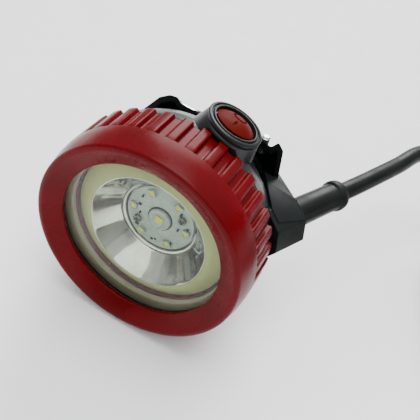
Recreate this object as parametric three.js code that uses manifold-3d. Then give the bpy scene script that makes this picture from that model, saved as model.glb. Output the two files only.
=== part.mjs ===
// Miner's cap lamp, corded headpiece. Millimetres, +Z up, the beam leaves along -Y.
// The lamp's own axis lies along Y. Ring-shaped pieces are turned about that axis.

import * as THREE from 'three';
import { mergeVertices } from 'three/addons/utils/BufferGeometryUtils.js';
import Module from 'manifold-3d';

const wasm = await Module();
wasm.setup();

// ---------------------------------------------------------------- driving dimensions

const GAP = 0.3;                    // clearance kept between neighbouring pieces
const FACETS = 36;                  // sides of a large round piece
const SMALL_FACETS = 20;            // sides of a thumb-sized one
const SCREW_FACETS = 10;

const BEZEL_R = 40.6;               // bezel radius over its ribs
const BEZEL_VALLEY_R = 39.4;
const BEZEL_FRONT_R = 38;
const BEZEL_MOUTH_R = 30.7;
const BEZEL_BAND_Y = 11.2;          // the plain band ends and the ribs begin
const BEZEL_END_Y = 24.8;
const RIB_COUNT = 36;
const RIB_SHARE = 0.36;             // part of the pitch that a rib's top fills
const THREAD_R = 36.0;              // housing neck, outer radius
const LENS_R = 34.9;
const LENS_Y = 6.3;
const LENS_THICK = 2.3;

const REFLECTOR_MOUTH_R = 22.4;
const REFLECTOR_MOUTH_Y = 9.0;
const THROAT_R = 14.1;
const GLOW_OUTER_R = 29.6;
const GLOW_OUTER_Y = 12.9;
const BOARD_R = 13.4;
const BOARD_Y = 19.1;               // front face of the LED board
const AUX_LED_COUNT = 6;
const AUX_LED_RING_R = 10.9;
const AUX_LED_START = 31;           // degrees from +Z towards +X
const BOARD_SCREW_RING_R = 9.5;
const BOARD_SCREW_START = 60;

const HOUSING_R = 38.4;
const HOUSING_START_Y = 14.0;
const HOUSING_FLANGE_Y = BEZEL_END_Y + GAP;
const SHOULDER_R = 34.0;
const SHOULDER_Y = 40.0;
const TAIL_R = 27.0;                // housing tail that the rear cover closes
const TAIL_END_Y = 50.5;
const HOUSING_WALL = 2.6;

const SWITCH_ANGLE = 15;            // degrees from +Z towards +X
const SWITCH_Y = 34.6;
const SWITCH_TOP = 42.3;            // lamp axis to the top of the switch collar
const SWITCH_TILT = 8;              // degrees, top leaning backwards
const COLLAR_R = 10.4;
const ROCKER_R = 7.5;
const ROCKER_REST = 8;              // degrees, the half stroke
const ROCKER_PIVOT_Z = -2.4;
const SEESAW_Z = -9.6;
const SEESAW_SHARE = 0.6;           // of the rocker's turn
const TERMINAL_Y = 3.8;             // either side of the switch's middle

const COVER_FRONT_Y = 49.0;
const COVER_REAR_Y = 57.0;
const COVER_WALL = 1.7;
const COVER_TAPER_Z = 0.80;         // rear outline as a share of the front outline
const COVER_TAPER_X = 0.95;
const COVER_SCREW_X = 11.5;
const COVER_SCREW_Z = -18.5;

const BOSS_END = new THREE.Vector3(38.5, 45, 6.9);
const BOSS_HEADING = 24;            // degrees from +Y towards +X
const BOSS_R = 10.8;                // over the eight corners
const BOSS_TURN = 6;                // degrees, its top corner towards the outer side
const BOSS_LENGTH = 16;
const SLEEVE_R = 5.5;
const SLEEVE_COLLAR_R = 6.2;
const SLEEVE_LENGTH = 30;
const SLEEVE_ROOT = 4.4;            // held inside the boss
const SLEEVE_ROOT_R = 5.9;
const CABLE_D = 7.4;

const HOOK_WIDTH = 41;
const HOOK_TIP_WIDTH = 28;
const HOOK_THICK = 1.5;
const HOOK_SLOT = 5.0;              // room for the cap's bracket
const HOOK_TOP_Z = 19.0;
const HOOK_BASE_LOW_Z = -13.5;
const HOOK_FRONT_Y = COVER_REAR_Y + GAP;
const HOOK_SCREW_X = 12;
const HOOK_SCREW_Z = [10, -8];
const SCREW_R = 1.5;
const SCREW_HOLE_R = SCREW_R + GAP;
const SCREW_TIP_Y = 43.2;           // inside the housing's lugs
const SHORT_SCREW_TIP_Y = 52.5;

const CONTACT_PLACE = [18.5, 53];   // X and Y of the charging stud in the cover's top wall
const CONTACT_R = 1.5;
const CONTACT_ROOT_Z = 22;
const CONTACT_TOP_Z = 30.5;

const COIL_MID_R = 37.5;            // ten cable diameters across
const COIL_LAYERS = 2;              // one helix inside the other
const COIL_LAYER_TURNS = 2.625;
const COIL_CENTRE = [152, 105];     // from the lamp's axis and front
const COIL_LIFT = 1.2;              // the tie's strap lies under the turns
const TIE_WIDTH = 12;
const TIE_THICK = 0.9;
const CONNECTOR_R = 8.0;
const CONNECTOR_LENGTH = 40;
const CONNECTOR_START_Y = 48;
const PIN_R = 1.2;
const PIN_X = 3;

const CENTRE_X = 7.588;             // lamp axis to the middle of the footprint
const CENTRE_Y = 37.139;
const AXIS_Z = BEZEL_R;

// ---------------------------------------------------------------- materials

function material(color, roughness, metalness = 0) {
  return new THREE.MeshStandardMaterial({ color, roughness, metalness });
}

const RED = material(0x7a1218, 0.28);
const BLACK = material(0x191c1b, 0.35);
const RUBBER = material(0x1b1d1c, 0.7);
const CLEAR = material(0xd8e4e4, 0.05);
const GREY = material(0x8a8676, 0.5);
const CREAM = material(0xb4b890, 0.55);
const CHROME = material(0xd8dadb, 0.08, 1);
const BOARD = material(0xaab5a4, 0.5);
const LED_GLOW = material(0xd9dc6a, 0.3);
const STEEL = material(0xbfc2c2, 0.3, 1);
const BRASS = material(0xb98d3e, 0.35, 1);
const ALUMINIUM = material(0x9da1a3, 0.4, 1);
const GREEN = material(0x1f5a35, 0.5);
const ROCKER_RED = material(0x8a3a2a, 0.4);

// ---------------------------------------------------------------- helpers

// A closed three.js geometry as a solid, with its faces turned outwards.
function solid(geometry) {
  const bare = geometry.index ? geometry.toNonIndexed() : geometry.clone();
  bare.deleteAttribute('normal');
  bare.deleteAttribute('uv');
  const merged = mergeVertices(bare, 1e-4);
  const place = merged.getAttribute('position');
  const corners = [];
  let volume = 0;
  const [a, b, c] = [new THREE.Vector3(), new THREE.Vector3(), new THREE.Vector3()];
  for (let i = 0; i < merged.index.count; i += 3) {
    const [p, q, r] = [0, 1, 2].map((k) => merged.index.getX(i + k));
    if (p === q || q === r || r === p) continue;
    corners.push(p, q, r);
    a.fromBufferAttribute(place, p);
    b.fromBufferAttribute(place, q);
    c.fromBufferAttribute(place, r);
    volume += a.dot(b.cross(c));
  }
  if (volume < 0) corners.reverse();
  return new wasm.Manifold(new wasm.Mesh({
    numProp: 3,
    vertProperties: new Float32Array(place.array),
    triVerts: new Uint32Array(corners),
  }));
}

function asSolid(shape) {
  return shape.isBufferGeometry ? solid(shape) : shape;
}

function join(...shapes) {
  return shapes.map(asSolid).reduce((sum, next) => sum.add(next));
}

function cut(shape, ...tools) {
  return tools.map(asSolid).reduce((rest, next) => rest.subtract(next), asSolid(shape));
}

function piece(name, shape, look) {
  const data = asSolid(shape).getMesh();
  const geometry = new THREE.BufferGeometry();
  geometry.setAttribute('position', new THREE.BufferAttribute(data.vertProperties, 3));
  geometry.setIndex(new THREE.BufferAttribute(data.triVerts, 1));
  geometry.computeVertexNormals();
  const mesh = new THREE.Mesh(geometry, look);
  mesh.name = name;
  return mesh;
}

// A body turned about the Y axis from a closed list of [radius, y] points.
function turned(outline, facets = FACETS) {
  const points = outline.map(([radius, y]) => new THREE.Vector2(radius, y));
  const closed = points[0].x !== 0 || points[points.length - 1].x !== 0;
  if (closed) points.push(points[0].clone());
  return new THREE.LatheGeometry(points, facets);
}

function ring(inner, outer, start, end, facets = FACETS) {
  return turned([[inner, start], [outer, start], [outer, end], [inner, end]], facets);
}

function disc(radius, start, end, facets = FACETS) {
  const geometry = new THREE.CylinderGeometry(radius, radius, end - start, facets);
  return geometry.translate(0, (start + end) / 2, 0);
}

// A block from two opposite corners.
function block(low, high) {
  const size = high.map((value, i) => value - low[i]);
  const geometry = new THREE.BoxGeometry(...size);
  return geometry.translate(...high.map((value, i) => (value + low[i]) / 2));
}

// An outline of [x, z] points carried along Y from start to end.
function slab(outline, start, end) {
  const shape = new THREE.Shape(outline.map(([x, z]) => new THREE.Vector2(x, z)));
  const geometry = new THREE.ExtrudeGeometry(shape, { depth: end - start, bevelEnabled: false });
  return geometry.rotateX(Math.PI / 2).scale(1, -1, 1).translate(0, start, 0);
}

// The same, narrowing towards its far end.
function taperedSlab(outline, start, end, shareX, shareZ) {
  const geometry = slab(outline, start, end);
  const place = geometry.getAttribute('position');
  for (let i = 0; i < place.count; i += 1) {
    const t = (place.getY(i) - start) / (end - start);
    place.setX(i, place.getX(i) * (1 + t * (shareX - 1)));
    place.setZ(i, place.getZ(i) * (1 + t * (shareZ - 1)));
  }
  return geometry;
}

// A point on a circle round the lamp axis, at an angle from +Z towards +X.
function polar(radius, degrees, y = 0) {
  const angle = THREE.MathUtils.degToRad(degrees);
  return new THREE.Vector3(radius * Math.sin(angle), y, radius * Math.cos(angle));
}

function tube(points, radius, sides, steps) {
  const path = new THREE.CatmullRomCurve3(points, false, 'centripetal');
  const section = new THREE.Shape();
  for (let i = 0; i < sides; i += 1) {
    const angle = (2 * Math.PI * i) / sides;
    const corner = [radius * Math.cos(angle), radius * Math.sin(angle)];
    if (i === 0) section.moveTo(...corner);
    else section.lineTo(...corner);
  }
  section.closePath();
  return new THREE.ExtrudeGeometry(section, { steps, extrudePath: path, bevelEnabled: false });
}

// ---------------------------------------------------------------- bezel and lens

function bezelRing() {
  const core = turned([
    [BEZEL_MOUTH_R, 3.6],
    [37.2, 0.15],
    [BEZEL_FRONT_R, 0],
    [38.9, 0.6],
    [BEZEL_R - 0.2, 8],
    [BEZEL_R, BEZEL_BAND_Y],
    [BEZEL_VALLEY_R, BEZEL_BAND_Y + 0.8],
    [BEZEL_VALLEY_R, BEZEL_END_Y],
    [THREAD_R + 0.4, BEZEL_END_Y],
    [THREAD_R + 0.4, HOUSING_START_Y - 0.2],
    [LENS_R + GAP, HOUSING_START_Y - 0.2],
    [LENS_R + GAP, 4.9],
    [BEZEL_MOUTH_R + 0.3, 4.9],
  ]);
  const pitch = (2 * Math.PI) / RIB_COUNT;
  const outline = [];
  for (let i = 0; i < RIB_COUNT; i += 1) {
    const middle = i * pitch;
    const corners = [
      [BEZEL_VALLEY_R - 0.5, -RIB_SHARE / 2 - 0.09],
      [BEZEL_R, -RIB_SHARE / 2],
      [BEZEL_R, RIB_SHARE / 2],
      [BEZEL_VALLEY_R - 0.5, RIB_SHARE / 2 + 0.09],
    ];
    for (const [radius, share] of corners) {
      const angle = middle + share * pitch;
      outline.push([radius * Math.sin(angle), radius * Math.cos(angle)]);
    }
  }
  const ribs = cut(slab(outline, BEZEL_BAND_Y - 0.6, BEZEL_END_Y), disc(THREAD_R + 1.6, 0, 30));
  return piece('bezel_ring', join(core, ribs), RED);
}

function frontStack() {
  const holderStart = LENS_Y + LENS_THICK + GAP;
  return [
    piece('lens_gasket', ring(BEZEL_MOUTH_R + 0.5, LENS_R, 5.2, LENS_Y - GAP), RUBBER),
    piece('lens', disc(LENS_R, LENS_Y, LENS_Y + LENS_THICK), CLEAR),
    piece('lens_holder', ring(30.4, LENS_R, holderStart, HOUSING_START_Y - 0.4), GREY),
  ];
}

// ---------------------------------------------------------------- light unit

function lightUnit() {
  const glow = turned([
    [23.4, 9.1],
    [GLOW_OUTER_R, GLOW_OUTER_Y],
    [GLOW_OUTER_R, 21.6],
    [28.4, 21.6],
    [28.4, GLOW_OUTER_Y + 0.6],
    [24.2, 10.9],
    [23.65, 10.9],
  ]);
  const reflector = turned([
    [REFLECTOR_MOUTH_R, REFLECTOR_MOUTH_Y],
    [REFLECTOR_MOUTH_R + 0.6, REFLECTOR_MOUTH_Y],
    [REFLECTOR_MOUTH_R + 0.9, 11.6],
    [17.2, 18.8],
    [16.4, 21.6],
    [THROAT_R, 21.6],
    [THROAT_R, 18.9],
    [17.9, 13.6],
  ]);
  const screwPlaces = [0, 1].map((i) => polar(BOARD_SCREW_RING_R, BOARD_SCREW_START + 180 * i));
  const screwHoles = screwPlaces.map((at) => disc(1.2, 15, 28, SCREW_FACETS).translate(at.x, 0, at.z));
  const board = cut(disc(BOARD_R, BOARD_Y, BOARD_Y + 1.6, SMALL_FACETS), ...screwHoles);
  const posts = [0, 1, 2].map((i) => {
    const at = polar(14.5, 120 * i + 30);
    return disc(1.8, 24.5, 28.7, SCREW_FACETS).translate(at.x, 0, at.z);
  });
  const sinkPlate = turned([
    [0, 21.0],
    [13.0, 21.0],
    [13.0, 21.9],
    [THREAD_R - HOUSING_WALL - GAP, 21.9],
    [THREAD_R - HOUSING_WALL - GAP, 24.6],
    [0, 24.6],
  ]);
  const wireWay = block([-4, 20, -29], [4, 26, -23]);
  const sink = cut(join(sinkPlate, ...posts), ...screwHoles, wireWay);
  const dome = turned([[0, 14.6], [1.6, 15.0], [2.6, 16.1], [3.0, 17.7], [0, 17.7]], SMALL_FACETS);
  const driver = join(
    disc(18, 29.0, 30.6, SMALL_FACETS),
    block([-11, 30, -3], [-2, 36.5, 6]),
    disc(3.6, 30, 38, SCREW_FACETS).translate(7, 0, 5),
    disc(2.6, 30, 35, SCREW_FACETS).translate(7, 0, -5),
    block([-8, 30, -13], [4, 32.2, -8]),
  );
  const pieces = [
    piece('glow_ring', glow, CREAM),
    piece('reflector', reflector, CHROME),
    piece('led_board', board, BOARD),
    piece('heat_sink', sink, ALUMINIUM),
    piece('main_led_base', disc(4.4, 18.0, BOARD_Y - GAP, SMALL_FACETS), BOARD),
    piece('main_led_dome', dome, LED_GLOW),
    piece('driver_board', driver, GREEN),
  ];
  for (let i = 0; i < AUX_LED_COUNT; i += 1) {
    const angle = AUX_LED_START + (360 / AUX_LED_COUNT) * i;
    const led = piece(`aux_led_${i + 1}`, block([-1.4, -0.9, -1.4], [1.4, 0, 1.4]), LED_GLOW);
    led.position.copy(polar(AUX_LED_RING_R, angle, BOARD_Y - GAP));
    led.rotation.y = THREE.MathUtils.degToRad(angle);
    pieces.push(led);
  }
  screwPlaces.forEach((at, i) => {
    const screw = join(disc(1.6, 17.8, BOARD_Y - GAP, SCREW_FACETS), disc(0.85, 18.5, 24, SCREW_FACETS));
    const mesh = piece(`board_screw_${i + 1}`, screw, STEEL);
    mesh.position.copy(at);
    pieces.push(mesh);
  });
  return pieces;
}

// ---------------------------------------------------------------- housing and switch

// The switch stands on its own axis: local +Z points out of its top, local +Y backwards.
function switchGroup() {
  const group = new THREE.Group();
  const radial = polar(1, SWITCH_ANGLE);
  const back = new THREE.Vector3(0, 1, 0);
  const across = new THREE.Vector3().crossVectors(back, radial);
  const tilt = THREE.MathUtils.degToRad(SWITCH_TILT);
  const out = radial.clone().multiplyScalar(Math.cos(tilt)).addScaledVector(back, Math.sin(tilt));
  const rear = new THREE.Vector3().crossVectors(out, across);
  group.matrix.makeBasis(across, rear, out);
  group.matrix.setPosition(polar(SWITCH_TOP, SWITCH_ANGLE, SWITCH_Y));
  group.matrix.decompose(group.position, group.quaternion, group.scale);
  return group;
}

// A body turned about the switch's own Z axis from closed [radius, z] points.
function onSwitchAxis(shape) {
  return asSolid(shape).rotate([90, 0, 0]);
}

function inSwitchFrame(shape) {
  const group = switchGroup();
  group.updateMatrixWorld();
  return asSolid(shape).transform(group.matrixWorld.elements);
}

function housing() {
  const shell = turned([
    [THREAD_R - HOUSING_WALL, HOUSING_START_Y],
    [THREAD_R, HOUSING_START_Y],
    [THREAD_R, 22.2],
    [THREAD_R - 1.3, 22.2],
    [THREAD_R - 1.3, 24.2],
    [THREAD_R, 24.2],
    [THREAD_R, HOUSING_FLANGE_Y],
    [HOUSING_R - 0.4, HOUSING_FLANGE_Y],
    [HOUSING_R, HOUSING_FLANGE_Y + 0.6],
    [HOUSING_R - 0.3, 30],
    [36.6, 36],
    [SHOULDER_R, SHOULDER_Y],
    [SHOULDER_R - 0.8, SHOULDER_Y + 1.2],
    [TAIL_R + 0.6, 42.6],
    [TAIL_R, TAIL_END_Y],
    [TAIL_R - HOUSING_WALL, TAIL_END_Y],
    [TAIL_R - HOUSING_WALL, 40.6],
    [SHOULDER_R - HOUSING_WALL, 38.4],
    [THREAD_R - HOUSING_WALL, 33],
  ]);
  const boss = inSwitchFrame(onSwitchAxis(turned([
    [0, -16],
    [13.2, -16],
    [12.2, -8],
    [COLLAR_R, -1.9],
    [0, -1.9],
  ], SMALL_FACETS)));
  const wideBore = disc(8.7, -5.0, 1, SMALL_FACETS);
  const narrowBore = disc(7.2, -30, -4, SMALL_FACETS);
  const bore = inSwitchFrame(onSwitchAxis(join(wideBore, narrowBore)));
  const inside = turned([
    [0, 10],
    [THREAD_R - HOUSING_WALL, 10],
    [THREAD_R - HOUSING_WALL, 33],
    [SHOULDER_R - HOUSING_WALL, 38.4],
    [TAIL_R - HOUSING_WALL, 40.6],
    [TAIL_R - HOUSING_WALL, 60],
    [0, 60],
  ]);
  const bezelSweep = disc(BEZEL_R + 0.5, 0, HOUSING_FLANGE_Y);
  const bossShell = cut(boss, inside, bezelSweep);
  const places = [...coverScrewPlaces(), ...longHookScrewPlaces()];
  const lugs = places.map(([x, z]) => disc(3.0, 39.0, TAIL_END_Y - 0.2, SCREW_FACETS).translate(x, 0, z));
  const lugHoles = places.map(([x, z]) => disc(SCREW_HOLE_R, 43, 60, SCREW_FACETS).translate(x, 0, z));
  const bridge = cut(disc(TAIL_R - HOUSING_WALL + 0.4, 39.0, 41.4), disc(16.5, 30, 50));
  const body = join(shell, bossShell, bridge, ...lugs);
  return piece('housing', cut(body, bore, wireWay(), ...lugHoles), BLACK);
}

function coverScrewPlaces() {
  return [[COVER_SCREW_X, COVER_SCREW_Z], [-COVER_SCREW_X, COVER_SCREW_Z]];
}

function switchPieces(group) {
  const collar = onSwitchAxis(turned([
    [7.8, -1.6],
    [COLLAR_R, -1.6],
    [COLLAR_R, -0.5],
    [COLLAR_R - 0.5, 0],
    [9.3, 0],
    [9.1, -0.5],
    [8.7, -0.5],
    [8.5, 0.1],
    [7.8, 0.1],
  ], SMALL_FACETS));
  const cup = onSwitchAxis(turned([
    [0, -12.5],
    [6.9, -12.5],
    [6.9, -4.7],
    [8.4, -4.7],
    [8.4, -1.9],
    [7.8, -1.9],
    [7.8, -4.2],
    [6.2, -4.2],
    [6.2, -11.2],
    [0, -11.2],
  ], SMALL_FACETS));
  const alongX = (geometry) => geometry.rotateZ(Math.PI / 2);
  const pinHole = alongX(disc(1.1, -12, 12, SCREW_FACETS)).translate(0, 0, ROCKER_PIVOT_Z);
  const pin = alongX(disc(0.8, -8.2, 8.2, SCREW_FACETS)).translate(0, 0, ROCKER_PIVOT_Z);
  const pedestal = block([-2.4, -0.5, -12], [2.4, 0.5, SEESAW_Z - 0.7]);
  const slots = [-1, 1].map((side) => block(
    [-1.1, side * TERMINAL_Y - 0.4, -16],
    [1.1, side * TERMINAL_Y + 0.4, -11],
  ));
  const blades = [-1, 1].map((side) => block(
    [-0.8, side * TERMINAL_Y - 0.1, -17],
    [0.8, side * TERMINAL_Y + 0.1, -10.9],
  ));
  const body = cut(join(cup, pedestal), pinHole, ...slots);
  const rocker = switchRocker(pinHole);
  const plunger = onSwitchAxis(disc(0.9, -8.4, -4.9, SCREW_FACETS));
  const rest = THREE.MathUtils.degToRad(ROCKER_REST);
  const seesaw = block([-1.6, -4.6, -0.2], [1.6, 4.6, 0.2]);
  group.add(
    piece('switch_collar', collar, BLACK),
    piece('switch_body', body, BLACK),
    piece('rocker_pin', pin, STEEL),
    piece('switch_terminal_1', blades[0], BRASS),
    piece('switch_terminal_2', blades[1], BRASS),
  );
  const rocking = new THREE.Group();
  rocking.position.z = ROCKER_PIVOT_Z;
  rocking.rotation.x = -rest;
  const shiftUp = (mesh) => mesh.translateZ(-ROCKER_PIVOT_Z);
  rocking.add(shiftUp(piece('switch_rocker', rocker, ROCKER_RED)));
  rocking.add(shiftUp(piece('rocker_plunger', plunger, BRASS)));
  const contact = piece('contact_seesaw', seesaw, BRASS);
  contact.position.z = SEESAW_Z;
  contact.rotation.x = rest * SEESAW_SHARE;
  group.add(rocking, contact);
}

// A round rocker button with two shallow facets that meet over the pivot.
function switchRocker(pinHole) {
  const body = onSwitchAxis(turned([
    [0, -4.4],
    [4.4, -4.4],
    [5.4, -3.6],
    [ROCKER_R, ROCKER_PIVOT_Z],
    [ROCKER_R - 0.1, 0.2],
    [6.6, 0.9],
    [4.2, 1.5],
    [0, 1.75],
  ], SMALL_FACETS));
  return cut(body, pinHole);
}

// ---------------------------------------------------------------- rear cover and cap hook

const COVER_OUTLINE = [
  [-30, -14],
  [-30, 15],
  [-23.4, 25.8],
  [-16.5, 29],
  [-8.4, 26.8],
  [4, 27.2],
  [22.2, 28.5],
  [24.4, 31.5],
  [27, 28.3],
  [29.3, 17],
  [29.3, -16],
  [22, -26],
  [-22, -26],
];

// The web that carries the cable boss, out to its tip.
const COVER_WEB = [[22, 19.5], [29.2, 18], [36.5, 15.2], [42, 12], [42, -1], [34, -3.5], [22, -6]];
const WEB_FRONT_Y = 38;
const WEB_REAR_Y = 53;

// The outline drawn in by about a wall's thickness.
function inset(outline, wall) {
  const reach = 30;
  return outline.map(([x, z]) => [x * (1 - wall / reach), z * (1 - wall / reach)]);
}

// The cable boss lies on its own axis: local Y runs outwards from its end centre.
function onBossAxis(geometry) {
  const heading = THREE.MathUtils.degToRad(BOSS_HEADING);
  return geometry.rotateZ(-heading).translate(...BOSS_END.toArray());
}

// A straight passage from the boss through the housing's side wall.
function wireWay() {
  return onBossAxis(disc(2.8, -15, -SLEEVE_ROOT + 0.4, SCREW_FACETS));
}

function rearCover() {
  const outer = taperedSlab(COVER_OUTLINE, COVER_FRONT_Y, COVER_REAR_Y, COVER_TAPER_X, COVER_TAPER_Z);
  const hollow = taperedSlab(
    inset(COVER_OUTLINE, COVER_WALL),
    COVER_FRONT_Y - 1,
    COVER_REAR_Y - COVER_WALL,
    COVER_TAPER_X,
    COVER_TAPER_Z,
  );
  const web = slab(COVER_WEB, WEB_FRONT_Y, WEB_REAR_Y);
  const behindBoss = onBossAxis(block([-8.5, 1.2, -20], [30, 40, 20]));
  const boss = onBossAxis(new THREE.CylinderGeometry(BOSS_R, BOSS_R, BOSS_LENGTH, 8)
    .rotateY(THREE.MathUtils.degToRad(BOSS_TURN)).translate(0, -BOSS_LENGTH / 2, 0));
  const ledge = ring(TAIL_R - 3, TAIL_R + 1.9, 48.4, COVER_REAR_Y - 1);
  const seat = disc(TAIL_R + GAP, 30, TAIL_END_Y + 1.4);
  const keepClear = turned([
    [0, 20],
    [HOUSING_R + GAP, 20],
    [HOUSING_R, 30],
    [36.6 + GAP, 36],
    [SHOULDER_R + GAP, SHOULDER_Y + 0.2],
    [SHOULDER_R - 0.4, SHOULDER_Y + 1.6],
    [TAIL_R + 1.0, 42.9],
    [TAIL_R + GAP, TAIL_END_Y],
    [0, TAIL_END_Y],
  ]);
  const bore = onBossAxis(disc(SLEEVE_ROOT_R + 0.4, -SLEEVE_ROOT - 0.6, 30, SMALL_FACETS));
  const places = [...coverScrewPlaces(), ...hookScrewPlaces()];
  const holes = places.map(([x, z]) => disc(SCREW_HOLE_R, 50, 60, SCREW_FACETS).translate(x, 0, z));
  holes.push(contactShape(CONTACT_R + GAP, CONTACT_ROOT_Z - GAP, CONTACT_TOP_Z + 1));
  const inside = disc(TAIL_R - 3, 40, COVER_REAR_Y - COVER_WALL);
  const rooms = [inside, seat, keepClear, bore, wireWay()];
  const neck = cut(join(cut(web, behindBoss), boss), hollow.clone());
  const shell = join(cut(outer, hollow), ledge.clone(), neck);
  return piece('rear_cover', cut(shell, ...rooms, ...holes), BLACK);
}

// A round stud standing on the cover's top wall, along Z.
function contactShape(radius, low, high) {
  const [x, y] = CONTACT_PLACE;
  return onSwitchAxis(disc(radius, low, high, SMALL_FACETS)).translate([x, y, 0]);
}

function chargeContact() {
  const shank = contactShape(CONTACT_R, CONTACT_ROOT_Z, CONTACT_TOP_Z - 0.5);
  const crown = contactShape(CONTACT_R - 0.4, CONTACT_ROOT_Z, CONTACT_TOP_Z);
  return piece('charge_contact', join(shank, crown), STEEL);
}

function hookScrewPlaces() {
  return HOOK_SCREW_Z.flatMap((z) => [[-HOOK_SCREW_X, z], [HOOK_SCREW_X, z]]);
}

// The upper two hook screws also hold the cover to the housing.
function longHookScrewPlaces() {
  return hookScrewPlaces().slice(0, 2);
}

// A strip bent back on itself: a base on the cover, a round fold and a long blade.
function capHook() {
  const inner = HOOK_SLOT / 2;
  const outer = inner + HOOK_THICK;
  const middle = HOOK_FRONT_Y + HOOK_THICK + inner;
  const turnZ = HOOK_TOP_Z - outer;
  const tip = -AXIS_Z;
  const side = new THREE.Shape();
  side.moveTo(middle - outer, HOOK_BASE_LOW_Z);
  side.lineTo(middle - outer, turnZ);
  side.absarc(middle, turnZ, outer, Math.PI, 0, true);
  side.lineTo(middle + outer, tip);
  side.lineTo(middle + inner, tip);
  side.lineTo(middle + inner, turnZ);
  side.absarc(middle, turnZ, inner, 0, Math.PI, false);
  side.lineTo(middle - inner, HOOK_BASE_LOW_Z);
  const settings = { depth: HOOK_WIDTH, bevelEnabled: false, curveSegments: 8 };
  const strip = new THREE.ExtrudeGeometry(side, settings);
  const axes = [new THREE.Vector3(0, 1, 0), new THREE.Vector3(0, 0, 1), new THREE.Vector3(1, 0, 0)];
  strip.applyMatrix4(new THREE.Matrix4().makeBasis(...axes)).translate(-HOOK_WIDTH / 2, 0, 0);
  const [wide, narrow] = [HOOK_WIDTH / 2 + 0.01, HOOK_TIP_WIDTH / 2];
  const front = slab([
    [-wide, HOOK_TOP_Z + 1],
    [wide, HOOK_TOP_Z + 1],
    [wide, HOOK_BASE_LOW_Z - 2],
    [narrow, -AXIS_Z + 2],
    [narrow - 3, -AXIS_Z],
    [-narrow + 3, -AXIS_Z],
    [-narrow, -AXIS_Z + 2],
    [-wide, HOOK_BASE_LOW_Z - 2],
  ], HOOK_FRONT_Y - 1, HOOK_FRONT_Y + 20);
  const back = HOOK_FRONT_Y + HOOK_THICK;
  const sink = [
    [0, 50],
    [SCREW_HOLE_R, 50],
    [SCREW_HOLE_R, HOOK_FRONT_Y],
    [3.2, back],
    [3.2, back + 0.2],
    [0, back + 0.2],
  ];
  const holes = hookScrewPlaces().map(([x, z]) => turned(sink, SCREW_FACETS).translate(x, 0, z));
  return piece('cap_hook', cut(solid(strip).intersect(solid(front)), ...holes), STEEL);
}

function coverFasteners() {
  const pieces = [];
  coverScrewPlaces().forEach(([x, z], i) => {
    const top = COVER_REAR_Y + 2;
    const shank = disc(SCREW_R, SCREW_TIP_Y, top - 1, SCREW_FACETS);
    const head = disc(2.8, COVER_REAR_Y + GAP, top, SCREW_FACETS);
    pieces.push(piece(`cover_screw_${i + 1}`, cut(join(shank, head), driverSlot(top)), STEEL));
    pieces[i].position.set(x, 0, z);
  });
  hookScrewPlaces().forEach(([x, z], i) => {
    const start = i < longHookScrewPlaces().length ? SCREW_TIP_Y : SHORT_SCREW_TIP_Y;
    const back = HOOK_FRONT_Y + HOOK_THICK;
    const profile = [[0, start], [SCREW_R, start], [SCREW_R, HOOK_FRONT_Y], [2.85, back], [0, back]];
    const screw = turned(profile, SCREW_FACETS);
    const mesh = piece(`hook_screw_${i + 1}`, cut(screw, driverSlot(back)), STEEL);
    mesh.position.set(x, 0, z);
    pieces.push(mesh);
  });
  return pieces;
}

function driverSlot(top) {
  return block([-3, top - 0.5, -0.35], [3, top + 1, 0.35]);
}

// ---------------------------------------------------------------- cable entry

// The two insulated cores run from the sleeve's root to the driver board.
const CORE_WIRE_R = 0.8;
const CORE_WIRES = [
  [
    [36.4, 40.3, 8.0],
    [34.8, 36.8, 8.0],
    [33, 33.4, 8.1],
    [28, 33, 9],
    [14, 36, 12],
    [4, 35.5, 13],
    [0, 31.0, 13],
  ],
  [
    [36.4, 40.3, 5.8],
    [34.8, 36.8, 5.8],
    [33, 33.4, 5.6],
    [29, 33, 3],
    [20, 36, -7],
    [14, 35.5, -11],
    [12.5, 31, -11.5],
  ],
];

function cableEntry() {
  const sleeve = turned([
    [0, -SLEEVE_ROOT],
    [SLEEVE_ROOT_R, -SLEEVE_ROOT],
    [SLEEVE_ROOT_R, 0.5],
    [SLEEVE_R, 1.0],
    [SLEEVE_R - 0.2, SLEEVE_LENGTH - 4.6],
    [SLEEVE_COLLAR_R - 0.3, SLEEVE_LENGTH - 4.0],
    [SLEEVE_COLLAR_R, SLEEVE_LENGTH - 3.0],
    [SLEEVE_COLLAR_R - 0.2, SLEEVE_LENGTH - 1.0],
    [SLEEVE_COLLAR_R - 1.6, SLEEVE_LENGTH],
    [0, SLEEVE_LENGTH],
  ], SMALL_FACETS);
  const wires = CORE_WIRES.map((route, i) => {
    const points = route.map((place) => new THREE.Vector3(...place));
    return piece(`core_wire_${i + 1}`, tube(points, CORE_WIRE_R, 8, 16), RUBBER);
  });
  return [piece('strain_relief', onBossAxis(sleeve), RUBBER), ...wires];
}

// ---------------------------------------------------------------- cord, coil and connector

// The cable's route after the strain relief, from the lamp's axis and front.
const CABLE_ROUTE = [
  [55.6, 83.4, 6.9],
  [61.3, 97.0, 6.9],
  [67.1, 111.2, 6.9],
  [73.8, 129.3, 6.6],
  [81.5, 141.1, 4.6],
  [92.8, 148.6, 0.6],
  [105.5, 151.1, -3.9],
  [118.0, 150.6, -7.4],
  [127.5, 149.3, -9.1],
];

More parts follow.
